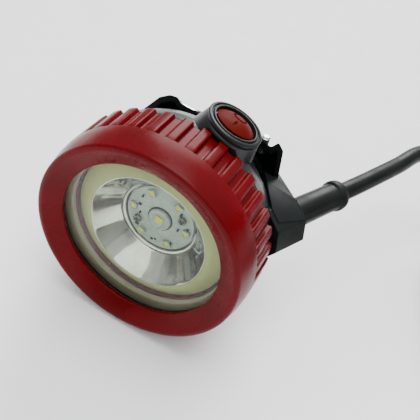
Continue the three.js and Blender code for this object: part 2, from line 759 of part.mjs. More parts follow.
function cord() {
  const heading = THREE.MathUtils.degToRad(BOSS_HEADING);
  const outwards = new THREE.Vector3(Math.sin(heading), Math.cos(heading), 0);
  const first = BOSS_END.clone().addScaledVector(outwards, SLEEVE_LENGTH + GAP);
  const route = [first, ...CABLE_ROUTE.map((place) => new THREE.Vector3(...place))];
  const halfWidth = (COIL_LAYERS * CABLE_D) / 2;
  const height = (COIL_LAYER_TURNS + 1) * CABLE_D;
  const low = -AXIS_Z + COIL_LIFT;
  const [cx, cy] = COIL_CENTRE;
  const corner = 2.6;
  const [inner, outer] = [COIL_MID_R - halfWidth, COIL_MID_R + halfWidth];
  const coil = onSwitchAxis(turned([
    [inner + corner, low],
    [outer - corner, low],
    [outer, low + corner],
    [outer, low + height - corner],
    [outer - corner, low + height],
    [inner + corner, low + height],
    [inner, low + height - corner],
    [inner, low + corner],
  ], FACETS)).translate([cx, cy, 0]);
  const tailX = cx + COIL_MID_R + CABLE_D / 2;
  const tail = tube([
    new THREE.Vector3(tailX, 79.4, -AXIS_Z + 22.2),
    new THREE.Vector3(tailX, 71, -AXIS_Z + 17),
    new THREE.Vector3(tailX, 62, -AXIS_Z + 10.6),
    new THREE.Vector3(tailX, CONNECTOR_START_Y + 4, -AXIS_Z + CONNECTOR_R),
    new THREE.Vector3(tailX, CONNECTOR_START_Y + GAP, -AXIS_Z + CONNECTOR_R),
  ], CABLE_D / 2, 10, 9);
  const reach = GAP + TIE_THICK;
  const bulge = inner - Math.sqrt(inner ** 2 - (TIE_WIDTH / 2) ** 2);
  const tieOuter = block(
    [-outer - reach, -TIE_WIDTH / 2, low - reach],
    [-inner + bulge + reach, TIE_WIDTH / 2, low + height + reach],
  );
  const tieInner = block(
    [-outer - GAP, -TIE_WIDTH, low - GAP],
    [-inner + bulge + GAP, TIE_WIDTH, low + height + GAP],
  );
  const tie = cut(tieOuter, tieInner).rotate([0, 0, 90]).translate([cx, cy, 0]);
  return [
    piece('cable', tube(route, CABLE_D / 2, 10, 36), RUBBER),
    piece('cable_coil', coil, RUBBER),
    piece('cable_tail', tail, RUBBER),
    piece('coil_tie', tie, RUBBER),
    ...connector(tailX),
  ];
}

function connector(x) {
  const end = -CONNECTOR_LENGTH;
  const body = turned([
    [0, 0],
    [4.6, 0],
    [6.2, -12],
    [CONNECTOR_R, -14],
    [CONNECTOR_R, end],
    [CONNECTOR_R - 1.4, end],
    [CONNECTOR_R - 1.4, end + 9],
    [0, end + 9],
  ], SMALL_FACETS);
  const places = [-PIN_X, PIN_X];
  const sockets = places.map((side) => disc(PIN_R + GAP, end + 6, end + 14, SCREW_FACETS)
    .translate(side, 0, 0));
  const pins = places.map((side) => disc(PIN_R, end + 1.5, end + 13.5, SCREW_FACETS).translate(side, 0, 0));
  const pieces = [
    piece('connector_body', cut(body, ...sockets), RUBBER),
    piece('connector_pin_1', pins[0], BRASS),
    piece('connector_pin_2', pins[1], BRASS),
  ];
  for (const mesh of pieces) mesh.position.set(x, CONNECTOR_START_Y, -AXIS_Z + CONNECTOR_R);
  return pieces;
}

// ---------------------------------------------------------------- the whole lamp

function sealRings() {
  return [
    piece('neck_oring', ring(THREAD_R - 1.0, THREAD_R + 0.1, 22.5, 23.9), RUBBER),
    piece('cover_gasket', ring(TAIL_R - 2.7, TAIL_R - 0.3, TAIL_END_Y + GAP, TAIL_END_Y + 1.1), RUBBER),
  ];
}

const lamp = new THREE.Group();
const switchAssembly = switchGroup();
switchPieces(switchAssembly);
lamp.add(
  bezelRing(),
  ...frontStack(),
  ...lightUnit(),
  housing(),
  switchAssembly,
  ...sealRings(),
  rearCover(),
  chargeContact(),
  capHook(),
  ...coverFasteners(),
  ...cableEntry(),
  ...cord(),
);
lamp.position.set(-CENTRE_X, -CENTRE_Y, AXIS_Z);

export default lamp;
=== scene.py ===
"""Miner's cap lamp: the finished surfaces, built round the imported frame.

Lengths are in millimetres in the lamp's own frame until they are placed: the origin is the
middle of the bezel's front rim, +Y runs backwards along the lamp's axis and +Z is up.
"""
import math
import bmesh
import bpy
from mathutils import Matrix, Quaternion, Vector


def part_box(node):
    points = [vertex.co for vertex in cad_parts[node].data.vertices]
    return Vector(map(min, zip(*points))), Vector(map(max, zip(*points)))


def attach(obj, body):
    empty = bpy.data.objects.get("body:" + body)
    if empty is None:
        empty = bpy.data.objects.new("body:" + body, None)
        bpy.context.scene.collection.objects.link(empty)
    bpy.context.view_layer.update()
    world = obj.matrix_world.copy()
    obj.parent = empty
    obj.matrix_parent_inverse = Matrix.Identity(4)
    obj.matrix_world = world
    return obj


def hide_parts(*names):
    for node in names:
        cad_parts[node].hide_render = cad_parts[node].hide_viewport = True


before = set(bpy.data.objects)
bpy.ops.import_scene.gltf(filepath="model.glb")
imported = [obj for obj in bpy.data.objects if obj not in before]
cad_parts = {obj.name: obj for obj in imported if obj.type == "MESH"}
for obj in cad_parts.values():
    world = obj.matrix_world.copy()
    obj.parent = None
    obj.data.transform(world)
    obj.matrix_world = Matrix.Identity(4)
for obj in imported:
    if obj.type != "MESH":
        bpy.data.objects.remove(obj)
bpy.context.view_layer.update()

# ---------------------------------------------------------------- places, from the frame

MM = 0.001
GAP = 0.3                            # between pieces that touch
rim_low, rim_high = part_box("bezel_ring")
AXIS = Vector(((rim_low.x + rim_high.x) / 2, rim_low.y, (rim_low.z + rim_high.z) / 2))
LAMP = Matrix.Translation(AXIS) @ Matrix.Scale(MM, 4)
FLOOR_Z = -AXIS.z / MM               # the floor, from the lamp's axis


def polar(radius, degrees, along=0.0):
    """A point on a circle round the lamp's axis, at an angle from +Z towards +X."""
    angle = math.radians(degrees)
    return Vector((radius * math.sin(angle), along, radius * math.cos(angle)))


SWITCH_ANGLE = 15
SWITCH_TILT = 8
SWITCH_TOP = 42.3
SWITCH_Y = 34.6
ROCKER_REST = -8                     # degrees, the half stroke
ROCKER_PIVOT_Z = -2.4


def switch_place():
    """The switch's own frame: +Z out of its top, +Y towards the lamp's back."""
    radial, back = polar(1, SWITCH_ANGLE), Vector((0, 1, 0))
    across = back.cross(radial)
    tilt = math.radians(SWITCH_TILT)
    out = radial * math.cos(tilt) + back * math.sin(tilt)
    basis = Matrix((across, out.cross(across), out)).transposed().to_4x4()
    return LAMP @ Matrix.Translation(polar(SWITCH_TOP, SWITCH_ANGLE, SWITCH_Y)) @ basis


SWITCH = switch_place()
PIVOT = Matrix.Translation((0, 0, ROCKER_PIVOT_Z))
ROCKER = SWITCH @ PIVOT @ Matrix.Rotation(math.radians(ROCKER_REST), 4, "X") @ PIVOT.inverted()

BOSS_END = Vector((38.5, 45, 6.9))
BOSS_HEADING = 24                    # degrees from +Y towards +X
BOSS = LAMP @ Matrix.Translation(BOSS_END) @ Matrix.Rotation(math.radians(-BOSS_HEADING), 4, "Z")
Y_TO_Z = Matrix.Rotation(math.radians(90), 4, "X")

# ---------------------------------------------------------------- camera

CAMERA_PLACE = Vector((52.43, -140.7, 161.1))
CAMERA_AZIMUTH = 12.82
CAMERA_ELEVATION = 41.68
CAMERA_ROLL = 19.98
CAMERA_LENS = 55.7


def make_camera():
    data = bpy.data.cameras.new("camera")
    data.sensor_width = 36
    data.lens = CAMERA_LENS
    data.clip_start = 0.01
    data.clip_end = 20
    camera = bpy.data.objects.new("camera", data)
    bpy.context.scene.collection.objects.link(camera)
    turn, rise = math.radians(CAMERA_AZIMUTH), math.radians(CAMERA_ELEVATION)
    flat = math.cos(rise)
    ahead = Vector((-math.sin(turn) * flat, math.cos(turn) * flat, -math.sin(rise)))
    level = ahead.to_track_quat("-Z", "Y")
    roll = Quaternion((0, 0, 1), math.radians(CAMERA_ROLL))
    camera.rotation_mode = "QUATERNION"
    camera.rotation_quaternion = level @ roll
    camera.location = LAMP @ CAMERA_PLACE
    bpy.context.scene.camera = camera


make_camera()

# ---------------------------------------------------------------- colours and node helpers


def tint(red, green, blue):
    """A display colour, 0 to 255, as linear light."""
    parts = [value / 255 for value in (red, green, blue)]
    return (*[p / 12.92 if p <= 0.04045 else ((p + 0.055) / 1.055) ** 2.4 for p in parts], 1)


def blank(name):
    material = bpy.data.materials.new(name)
    material.use_nodes = True
    material.node_tree.nodes.clear()
    return material, material.node_tree


def add(tree, kind, inputs=None, **settings):
    """A new shader node, with its settings, and its inputs as values or as links."""
    made = tree.nodes.new("ShaderNode" + kind)
    for key, value in settings.items():
        setattr(made, key, value)
    for socket, value in (inputs or {}).items():
        if isinstance(value, bpy.types.NodeSocket):
            tree.links.new(value, made.inputs[socket])
        else:
            made.inputs[socket].default_value = value
    return made


def noise(tree, scale, detail=4.0, stretch=(1, 1, 1), rough=0.55):
    place = add(tree, "TexCoord").outputs["Object"]
    mapped = add(tree, "Mapping", {"Vector": place, "Scale": stretch}).outputs["Vector"]
    inputs = {"Vector": mapped, "Scale": scale, "Detail": detail, "Roughness": rough}
    return add(tree, "TexNoise", inputs).outputs["Fac"]


def spread(tree, value, low, high, start=0.0, end=1.0):
    """Maps low..high smoothly on to start..end."""
    inputs = {"Value": value, "From Min": low, "From Max": high, "To Min": start, "To Max": end}
    return add(tree, "MapRange", inputs, interpolation_type="SMOOTHSTEP").outputs["Result"]


def times(tree, first, second):
    return add(tree, "Math", {0: first, 1: second}, operation="MULTIPLY").outputs[0]


def mixed(tree, share, first, second):
    return add(tree, "Mix", {0: share, 6: first, 7: second}, data_type="RGBA").outputs[2]


def hollows(tree, low=0.485, high=0.43):
    return spread(tree, add(tree, "NewGeometry").outputs["Pointiness"], low, high)


def bumped(tree, height, strength, distance):
    return add(tree, "Bump", {"Height": height, "Strength": strength, "Distance": distance}).outputs["Normal"]


def close(tree, shader):
    output = add(tree, "OutputMaterial")
    tree.links.new(shader.outputs[0], output.inputs["Surface"])


def moulded(name, dark, light, rough, hollow_tint=None, grain=2600, depth=0.25, specular=0.5):
    """Moulded plastic or rubber: mottled colour, uneven gloss, fine grain and, where a tint is given, that
    tint mixed in patches into the hollows.
    """
    material, tree = blank(name)
    colour = mixed(tree, spread(tree, noise(tree, 48, 5), 0.35, 0.65), dark, light)
    if hollow_tint:
        # the given tint goes in patches where pointiness finds a hollow; for the grey plastic it is a darker
        # brown
        specks = times(tree, hollows(tree), spread(tree, noise(tree, 300, 6), 0.4, 0.7, 0.15, 0.6))
        colour = mixed(tree, specks, colour, hollow_tint)
    gloss = spread(tree, noise(tree, 70, 6), 0.34, 0.66, *rough)
    fine = noise(tree, grain, 3)
    wide = noise(tree, 95, 2)
    normal = bumped(tree, wide, 0.06, 0.0006)
    grainy = add(tree, "Bump", {"Height": fine, "Strength": depth, "Distance": 0.00006, "Normal": normal})
    shader = add(tree, "BsdfPrincipled", {
        "Base Color": colour,
        "Roughness": gloss,
        "Normal": grainy.outputs["Normal"],
        "Specular IOR Level": specular,
    })
    close(tree, shader)
    return material


def metal(name, dark, light, rough, brush=(1, 1, 1), depth=0.15, tarnish=None):
    """Bare metal: fine brushing, smears in its gloss and some tarnish in its corners."""
    material, tree = blank(name)
    colour = mixed(tree, spread(tree, noise(tree, 70, 6), 0.35, 0.68), dark, light)
    if tarnish:
        stains = times(tree, hollows(tree), spread(tree, noise(tree, 240, 5), 0.35, 0.6))
        colour = mixed(tree, stains, colour, tarnish)
    gloss = spread(tree, noise(tree, 160, 6, brush, 0.7), 0.34, 0.7, *rough)
    normal = bumped(tree, noise(tree, 1500, 3, brush), depth, 0.00005)
    inputs = {"Base Color": colour, "Roughness": gloss, "Normal": normal, "Metallic": 1.0}
    close(tree, add(tree, "BsdfPrincipled", inputs))
    return material


def clear(name, colour, gloss):
    """A clear window: it shows what is behind it and carries smears and a little dust."""
    material, tree = blank(name)
    through = add(tree, "BsdfTransparent", {"Color": colour})
    rough = spread(tree, noise(tree, 120, 6, (1, 1, 3)), 0.4, 0.72, *gloss)
    shine = add(tree, "BsdfGlossy", {"Color": (0.95, 0.97, 0.97, 1), "Roughness": rough})
    inside = add(tree, "NewGeometry").outputs["Backfacing"]
    outside = add(tree, "Math", {0: 1.0, 1: inside}, operation="SUBTRACT")
    rim = times(tree, add(tree, "Fresnel", {"IOR": 1.46}).outputs["Fac"], outside.outputs[0])
    pane = add(tree, "MixShader", {0: rim, 1: through.outputs[0], 2: shine.outputs[0]})
    dust = add(tree, "BsdfDiffuse", {"Color": tint(205, 208, 200)})
    dots = spread(tree, noise(tree, 900, 2), 0.66, 0.78)
    specks = times(tree, dots, spread(tree, noise(tree, 60, 3), 0.4, 0.7, 0.1, 0.5))
    close(tree, add(tree, "MixShader", {0: specks, 1: pane.outputs[0], 2: dust.outputs[0]}))
    material.surface_render_method = "BLENDED"
    return material


def board_lacquer():
    """White lacquer over copper: faint tracks stand under it."""
    material, tree = blank("board_lacquer")
    place = add(tree, "TexCoord").outputs["Object"]
    cells = add(
        tree, "TexVoronoi", {"Vector": place, "Scale": 330.0},
        feature="DISTANCE_TO_EDGE", distance="MANHATTAN",
    )
    tracks = spread(tree, cells.outputs["Distance"], 0.05, 0.11, 1.0, 0.0)
    clouds = spread(tree, noise(tree, 180, 5), 0.35, 0.65)
    base = mixed(tree, clouds, tint(150, 166, 156), tint(164, 179, 168))
    colour = mixed(tree, times(tree, tracks, 0.35), base, tint(122, 142, 128))
    normal = bumped(tree, tracks, 0.3, 0.00006)
    gloss = spread(tree, noise(tree, 400, 5), 0.3, 0.7, 0.28, 0.45)
    close(tree, add(tree, "BsdfPrincipled", {"Base Color": colour, "Roughness": gloss, "Normal": normal}))
    return material


def woven(name, dark, light):
    """A woven strap: two crossed rows of threads."""
    material, tree = blank(name)
    place = add(tree, "TexCoord").outputs["Object"]
    wave = {"Vector": place, "Scale": 420.0, "Distortion": 1.2}
    rows = [add(tree, "TexWave", wave, bands_direction=axis).outputs["Fac"] for axis in ("X", "DIAGONAL")]
    weave = times(tree, *rows)
    colour = mixed(tree, weave, dark, light)
    gloss = spread(tree, noise(tree, 300, 4), 0.3, 0.7, 0.7, 0.9)
    inputs = {"Base Color": colour, "Roughness": gloss, "Normal": bumped(tree, weave, 0.6, 0.0002)}
    close(tree, add(tree, "BsdfPrincipled", inputs))
    return material


def painted_floor():
    material, tree = blank("pale_floor")
    clouds = spread(tree, noise(tree, 1.5, 3), 0.3, 0.7)
    colour = mixed(tree, clouds, tint(247, 247, 246), tint(250, 250, 250))
    gloss = spread(tree, noise(tree, 40, 3), 0.3, 0.7, 0.6, 0.75)
    close(tree, add(tree, "BsdfPrincipled", {"Base Color": colour, "Roughness": gloss}))
    return material


FINISH = {
    "red_shell": moulded(
        "red_shell", tint(86, 4, 10), tint(96, 6, 14), (0.22, 0.34), depth=0.15, specular=0.09,
    ),
    "black_shell": moulded(
        "black_shell", tint(20, 24, 23), tint(28, 32, 32), (0.24, 0.38), specular=0.2,
    ),
    "housing_black": moulded(
        "housing_black", tint(20, 24, 24), tint(29, 33, 34), (0.24, 0.34), specular=0.38,
    ),
    "cover_black": moulded(
        "cover_black", tint(15, 18, 18), tint(23, 27, 26), (0.34, 0.48), specular=0.12,
    ),
    "rubber": moulded(
        "rubber", tint(12, 13, 13), tint(19, 20, 19), (0.55, 0.75), grain=1800, depth=0.5, specular=0.2,
    ),
    "cable_rubber": moulded(
        "cable_rubber", tint(10, 14, 12), tint(17, 22, 19), (0.34, 0.5), grain=2100, depth=0.4, specular=0.16,
    ),
    "clear_lens": clear("clear_lens", (0.97, 0.985, 0.96, 1), (0.03, 0.09)),
    "grey_plastic": moulded(
        "grey_plastic", tint(140, 135, 118), tint(158, 152, 134), (0.34, 0.5), hollow_tint=tint(96, 90, 78),
    ),
    "cream_plastic": moulded(
        "cream_plastic", tint(172, 180, 112), tint(184, 192, 126), (0.42, 0.58), specular=0.25,
    ),
    "chrome": metal("chrome", tint(176, 178, 168), tint(200, 202, 192), (0.04, 0.12), depth=0.03),
    "white_board": board_lacquer(),
    "led_resin": moulded("led_resin", tint(190, 192, 14), tint(208, 208, 36), (0.22, 0.36), grain=3200),
    "green_board": moulded("green_board", tint(24, 74, 44), tint(34, 92, 54), (0.3, 0.45)),
    "aluminium": metal("aluminium", tint(150, 153, 154), tint(176, 179, 180), (0.3, 0.46), (1, 6, 1)),
    "steel": metal(
        "steel", tint(186, 188, 186), tint(208, 210, 208), (0.2, 0.36), (9, 1, 1), tarnish=tint(120, 112, 98),
    ),
    "brass": metal("brass", tint(190, 146, 70), tint(214, 172, 96), (0.2, 0.36), tarnish=tint(110, 80, 40)),
    "rocker_red": moulded(
        "rocker_red", tint(80, 14, 7), tint(88, 17, 10), (0.34, 0.46), depth=0.15, specular=0.03,
    ),
    "wire_red": moulded("wire_red", tint(150, 22, 22), tint(170, 30, 28), (0.35, 0.5)),
    "wire_black": moulded("wire_black", tint(20, 20, 20), tint(30, 30, 30), (0.35, 0.5)),
}
DARK_STEEL = metal("dark_steel", tint(84, 92, 86), tint(112, 120, 112), (0.3, 0.45))
WOVEN_STRAP = woven("woven_strap", tint(14, 14, 15), tint(38, 38, 40))

# ---------------------------------------------------------------- the cable

CABLE_D = 7.4
SLEEVE_LENGTH = 30
SLEEVE_END = 30.3                    # along the boss's axis, where the cable comes out
SOCKET_DEPTH = 2.6                   # the cable's ends sit this deep in their rubber

# The same points as the frame's cable.
CABLE_ROUTE = [
    (55.6, 83.4, 6.9),
    (61.3, 97.0, 6.9),
    (67.1, 111.2, 6.9),
    (73.8, 129.3, 6.6),
    (81.5, 141.1, 4.6),
    (92.8, 148.6, 0.6),
    (105.5, 151.1, -3.9),
    (118.0, 150.6, -7.4),
    (127.5, 149.3, -9.1),
]
COIL_CENTRE = Vector((152, 105, 0))
COIL_MID_R = 37.5
COIL_LAYER_TURNS = 2.625             # the inner layer winds down, the outer one back up
COIL_LIFT = 1.2
COIL_STEPS = 24                      # points in each turn
CONNECTOR_R = 8.0
CONNECTOR_START_Y = 48
CONNECTOR_LENGTH = 40


def smooth(t):
    t = min(max(t, 0), 1)
    return t * t * (3 - 2 * t)


def coil_points():
    """Clockwise from above, from the coil's +Y side to its +X side."""
    top = FLOOR_Z + COIL_LIFT + CABLE_D * (COIL_LAYER_TURNS + 0.5)
    points = []
    for step in range(round(2 * COIL_LAYER_TURNS * COIL_STEPS) + 1):
        turns = step / COIL_STEPS
        down = min(turns, 2 * COIL_LAYER_TURNS - turns)
        outwards = smooth((turns - COIL_LAYER_TURNS + 0.1) / 0.2) - 0.5
        angle = math.radians(90 - 360 * turns)
        radius = COIL_MID_R + outwards * CABLE_D
        x, y = radius * math.cos(angle), radius * math.sin(angle)
        points.append(COIL_CENTRE + Vector((x, y, top - CABLE_D * down)))
    return points


def over_the_coil():
    """The cable crosses the outer layer and drops on to the inner one."""
    crossing = []
    for radius, degrees, height in [(42.6, 109, -10.5), (37.6, 99, -12.2)]:
        angle = math.radians(degrees)
        crossing.append(COIL_CENTRE + Vector((radius * math.cos(angle), radius * math.sin(angle), height)))
    return crossing


def cable_line():
    heading = math.radians(BOSS_HEADING)
    outwards = Vector((math.sin(heading), math.cos(heading), 0))
    start = BOSS_END + outwards * (SLEEVE_END - SOCKET_DEPTH)
    tail_x = COIL_CENTRE.x + COIL_MID_R + CABLE_D / 2
    level = FLOOR_Z + CONNECTOR_R
    tail = [
        (tail_x, 92.2, FLOOR_Z + 23.8),
        (tail_x, 79.4, FLOOR_Z + 22.2),
        (tail_x, 71, FLOOR_Z + 17),
        (tail_x, 62, FLOOR_Z + 10.6),
        (tail_x, CONNECTOR_START_Y + 4, level),
        (tail_x, CONNECTOR_START_Y - SOCKET_DEPTH, level),
    ]
    route = [start, BOSS_END + outwards * SLEEVE_END, *map(Vector, CABLE_ROUTE)]
    return [*route, *over_the_coil(), *coil_points(), *map(Vector, tail)]


def make_cable():
    curve = bpy.data.curves.new("power_cable", "CURVE")
    curve.dimensions = "3D"
    curve.bevel_depth = CABLE_D / 2 * MM
    curve.bevel_resolution = 8
    curve.resolution_u = 6
    curve.use_fill_caps = True
    curve.materials.append(FINISH["cable_rubber"])
    line = cable_line()
    spline = curve.splines.new("BEZIER")
    spline.bezier_points.add(len(line) - 1)
    for knot, place in zip(spline.bezier_points, line):
        knot.co = LAMP @ place
        knot.handle_left_type = knot.handle_right_type = "AUTO"
    cable = bpy.data.objects.new("power_cable", curve)
    bpy.context.scene.collection.objects.link(cable)
    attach(cable, "housing")
    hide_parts("cable", "cable_coil", "cable_tail")
    return cable, LAMP @ line[1]


cable, cable_exit = make_cable()

# ---------------------------------------------------------------- mesh helpers

SEGMENTS = 144
FINE_SEGMENTS = 216


def even(count):
    return [360 * i / count for i in range(count)]


def eased(corners, steps=4):
    """An outline of (x, y) corners; one with a third number, a radius, is rounded."""
    points = []
    for i, corner in enumerate(corners):
        here = Vector(corner[:2])
        if len(corner) == 2:
            points.append(here)
            continue
        before = Vector(corners[i - 1][:2]) - here
        after = Vector(corners[(i + 1) % len(corners)][:2]) - here
        half = max(before.angle(after) / 2, 0.05)
        reach = min(corner[2] / math.tan(half), 0.49 * before.length, 0.49 * after.length)
        start, end = here + before.normalized() * reach, here + after.normalized() * reach
        for k in range(steps + 1):
            t = k / steps
            points.append(start * (1 - t) ** 2 + here * (2 * t * (1 - t)) + end * t ** 2)
    return points


def tidy(shape):
    bmesh.ops.remove_doubles(shape, verts=shape.verts, dist=2e-4)
    bmesh.ops.recalc_face_normals(shape, faces=shape.faces)
    if shape.calc_volume(signed=True) < 0:
        bmesh.ops.reverse_faces(shape, faces=shape.faces)
    return shape


def loft(rings, closed=True):
    """Faces between rings of as many points each; the first ring follows the last if closed."""
    shape = bmesh.new()
    rings = [[shape.verts.new(place) for place in ring] for ring in rings]
    pairs = zip(rings, rings[1:] + rings[:1]) if closed else zip(rings, rings[1:])
    for ring, after in pairs:
        for i in range(len(ring)):
            j = (i + 1) % len(ring)
            shape.faces.new((ring[i], ring[j], after[j], after[i]))
    if not closed:
        shape.faces.new(rings[0])
        shape.faces.new(rings[-1])
    return tidy(shape)


def turned(outline, angles=None, form=None):
    """A closed outline of (radius, along) points turned about the Y axis.

    form, where given, takes (degrees, radius, along) and gives the moved radius and along.
    """
    rings = []
    for degrees in angles or even(SEGMENTS):
        points = [form(degrees, *point) for point in outline] if form else outline
        rings.append([polar(radius, degrees, along) for radius, along in points])
    return loft(rings)


def slab(outline, start, end, share=(1, 1)):
    """An outline of (x, z) points carried along Y, down to a share of its width and height."""
    near = [(x, start, z) for x, z in outline]
    far = [(x * share[0], end, z * share[1]) for x, z in outline]
    return loft([near, far], closed=False)


def disc(radius, start, end, count=48, middle=(0, 0)):
    turns = [math.radians(a) for a in even(count)]
    outline = [(middle[0] + radius * math.sin(a), middle[1] + radius * math.cos(a)) for a in turns]
    return slab(outline, start, end)


def hull(places):
    """The smallest shape with flat faces that holds all of the places."""
    shape = bmesh.new()
    bmesh.ops.convex_hull(shape, input=[shape.verts.new(place) for place in places])
    bmesh.ops.delete(shape, geom=[v for v in shape.verts if not v.link_faces], context="VERTS")
    bmesh.ops.dissolve_limit(shape, angle_limit=0.02, verts=shape.verts, edges=shape.edges)
    return tidy(shape)


def block(low, high):
    outline = [(low[0], low[2]), (high[0], low[2]), (high[0], high[2]), (low[0], high[2])]
    return slab(outline, low[1], high[1])


def moved(shape, place):
    shape.transform(place)
    return shape


def boolean(base, tool, operation):
    """base joined with tool, or cut by it. Both are used up."""
    holders = []
    for shape in (base, tool):
        mesh = bpy.data.meshes.new("shape")
        shape.to_mesh(mesh)
        shape.free()
        holders.append(bpy.data.objects.new("shape", mesh))
        bpy.context.scene.collection.objects.link(holders[-1])
    modifier = holders[0].modifiers.new("boolean", "BOOLEAN")
    modifier.solver = "EXACT"
    modifier.operation = operation
    modifier.object = holders[1]
    result = bmesh.new()
    result.from_object(holders[0], bpy.context.evaluated_depsgraph_get())
    for holder in holders:
        mesh = holder.data
        bpy.data.objects.remove(holder)
        bpy.data.meshes.remove(mesh)
    return result


def joined(base, *others):
    for other in others:
        base = boolean(base, other, "UNION")
    return base


def cut(base, *tools):
    for tool in tools:
        base = boolean(base, tool, "DIFFERENCE")
    return base


def show(
        name, shape, slot, body="housing", nodes=(), place=LAMP,
        bevel=0.0, corner=30, sharp=40, finish=None,
):
    """Puts a shape in the scene as a piece that rides on a body and stands for CAD nodes."""
    shape.transform(place)
    mesh = bpy.data.meshes.new(name)
    shape.to_mesh(mesh)
    shape.free()
    mesh.materials.append(finish or FINISH[slot])
    mesh.shade_smooth()
    mesh.set_sharp_from_angle(angle=math.radians(sharp))
    piece = bpy.data.objects.new(name, mesh)
    bpy.context.scene.collection.objects.link(piece)
    if bevel:
        soften = piece.modifiers.new("rounded_edges", "BEVEL")
        soften.width = bevel * MM
        soften.segments = 3
        soften.limit_method = "ANGLE"
        soften.angle_limit = math.radians(corner)
        soften.harden_normals = True
    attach(piece, body)
    if nodes:
        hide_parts(*nodes)
    return piece


# ---------------------------------------------------------------- bezel ring

BEZEL_R = (rim_high.x - rim_low.x) / 2 / MM
BEZEL_END_Y = (rim_high.y - rim_low.y) / MM
BAND_END_Y = 11.2
VALLEY_R = 39.0
RIBS = 36
RIB_PHASE = 7.5                      # degrees from +Z towards +X
RIB_HALF_SHARE = 0.26                # of the pitch, from a rib's middle to half way down its side
RIB_SIDE_SHARE = 0.045
MOUTH_R = 30.7
THREAD_PITCH = 3.0
THREAD_START_Y = 14.6
THREAD_END_Y = 21.9
THREAD_DEPTH = 0.75


def make_bezel():
    pitch = 360 / RIBS
    side = [RIB_HALF_SHARE + RIB_SIDE_SHARE * (k / 3 - 1) for k in range(7)]
    halves = [0.1, *side, 0.4]
    shares = [-0.5, *[-s for s in reversed(halves)], 0, *halves]
    angles = [RIB_PHASE + pitch * (i + share) for i in range(RIBS) for share in shares]

    def ribbed(degrees, radius, along):
        if along <= BAND_END_Y + 0.1 or radius < VALLEY_R - 0.9:
            return radius, along
        share = ((degrees - RIB_PHASE) / pitch + 0.5) % 1 - 0.5
        lift = smooth((RIB_HALF_SHARE + RIB_SIDE_SHARE - abs(share)) / (2 * RIB_SIDE_SHARE))
        return radius + lift * (BEZEL_R - VALLEY_R), along

    rows = [(VALLEY_R, BAND_END_Y + 0.9 + 1.55 * k) for k in range(8)]
    outline = eased([
        (MOUTH_R, 3.6, 0.45),
        (37.3, 0.0, 1.8),
        (39.1, 0.5, 1.3),
        (40.3, 7.0),
        (BEZEL_R, BAND_END_Y, 0.3),
        *rows,
        (VALLEY_R, BEZEL_END_Y, 0.5),
        (36.4, BEZEL_END_Y, 0.3),
        (36.4, 13.8),
        (35.2, 13.8),
        (35.2, 4.9),
        (MOUTH_R + 0.3, 4.9, 0.2),
    ])
    ring = turned(outline, angles, ribbed)
    show("bezel", ring, "red_shell", "bezel", ["bezel_ring"], sharp=50)


make_bezel()

# ---------------------------------------------------------------- lens, its gasket and holder, and a painted red reflection


def make_front():
    gasket = eased([(31.2, 5.15, 0.3), (34.9, 5.15), (34.9, 6.0), (31.2, 6.0, 0.3)])
    show("window_gasket", turned(gasket), "rubber", "front_stack", ["lens_gasket"])
    pane = eased([(0, 6.3), (34.9, 6.3, 0.4), (34.9, 8.6, 0.4), (0, 8.6)])
    show("window", turned(pane), "clear_lens", "front_stack", ["lens"])
    holder = eased([
        (30.4, 8.9, 0.5), (34.9, 8.9, 0.3), (34.9, 13.6), (31.6, 13.6), (31.2, 11.4), (30.4, 11.2, 0.3),
    ])
    show("window_holder", turned(holder), "grey_plastic", "front_stack", ["lens_holder"])
    # Painted reflection: a ring in the bezel's red plastic, with no part in the frame, stands in for the red
    # bezel reflected in the lens's edge between the grey holder and the cream ring.
    reflection_band = eased([(30.3, 11.5, 0.4), (30.9, 11.5), (31.3, 13.6), (30.2, 13.6, 0.4)])
    show("red_reflection_ring", turned(reflection_band), "red_shell", "front_stack")


make_front()

# ---------------------------------------------------------------- reflector, ring and board

THROAT_R = 14.1
THROAT_Y = 18.9
REFLECTOR_R = 22.4
REFLECTOR_Y = 9.0
BOWL_RIPPLES = (5, 8, 13, 21, 34)    # waves round the bowl
RIPPLE_DEPTH = 0.09


def make_reflector():
    """A parabola from the mouth to a small step, with a bead at either end."""
    fall = (REFLECTOR_R ** 2 - THROAT_R ** 2) / (THROAT_Y - REFLECTOR_Y)
    steps = 20
    step_y = 18.0
    bowl = []
    for k in range(steps + 1):
        along = REFLECTOR_Y + 0.35 + (step_y - REFLECTOR_Y - 0.35) * k / steps
        bowl.append((math.sqrt(REFLECTOR_R ** 2 - fall * (along - REFLECTOR_Y)), along))
    inner_r = bowl[-1][0]

    def rippled(degrees, radius, along):
        """The pressed bowl isn't quite round, which draws streaks in its reflections."""
        turn = math.radians(degrees)
        ripple = sum(math.sin(count * turn + count) for count in BOWL_RIPPLES) / len(BOWL_RIPPLES)
        share = (REFLECTOR_R - radius) / (REFLECTOR_R - THROAT_R)
        return radius + RIPPLE_DEPTH * ripple * max(min(share * 4, (1 - share) * 4, 1), 0), along

    outline = eased([
        (REFLECTOR_R + 0.05, REFLECTOR_Y, 0.1),
        *bowl,
        (inner_r - 0.1, step_y + 0.5, 0.2),
        (THROAT_R + 0.15, step_y + 0.7, 0.35),
        (THROAT_R, THROAT_Y + 0.1),
        (THROAT_R, 21.4),
        (16.2, 21.4),
        (17.0, 18.8),
        (REFLECTOR_R + 0.4, 11.4),
        (REFLECTOR_R + 0.3, REFLECTOR_Y, 0.1),
    ])
    show("mirror", turned(outline, even(FINE_SEGMENTS), rippled), "chrome", nodes=["reflector"])


def make_glow_ring():
    outline = eased([
        (22.85, 8.8, 0.1), (29.6, 12.9, 0.4), (29.6, 21.6, 0.2), (28.4, 21.6),
        (28.4, 13.5), (23.6, 10.9), (22.95, 10.9),
    ])
    show("cream_ring", turned(outline), "cream_plastic", nodes=["glow_ring"])


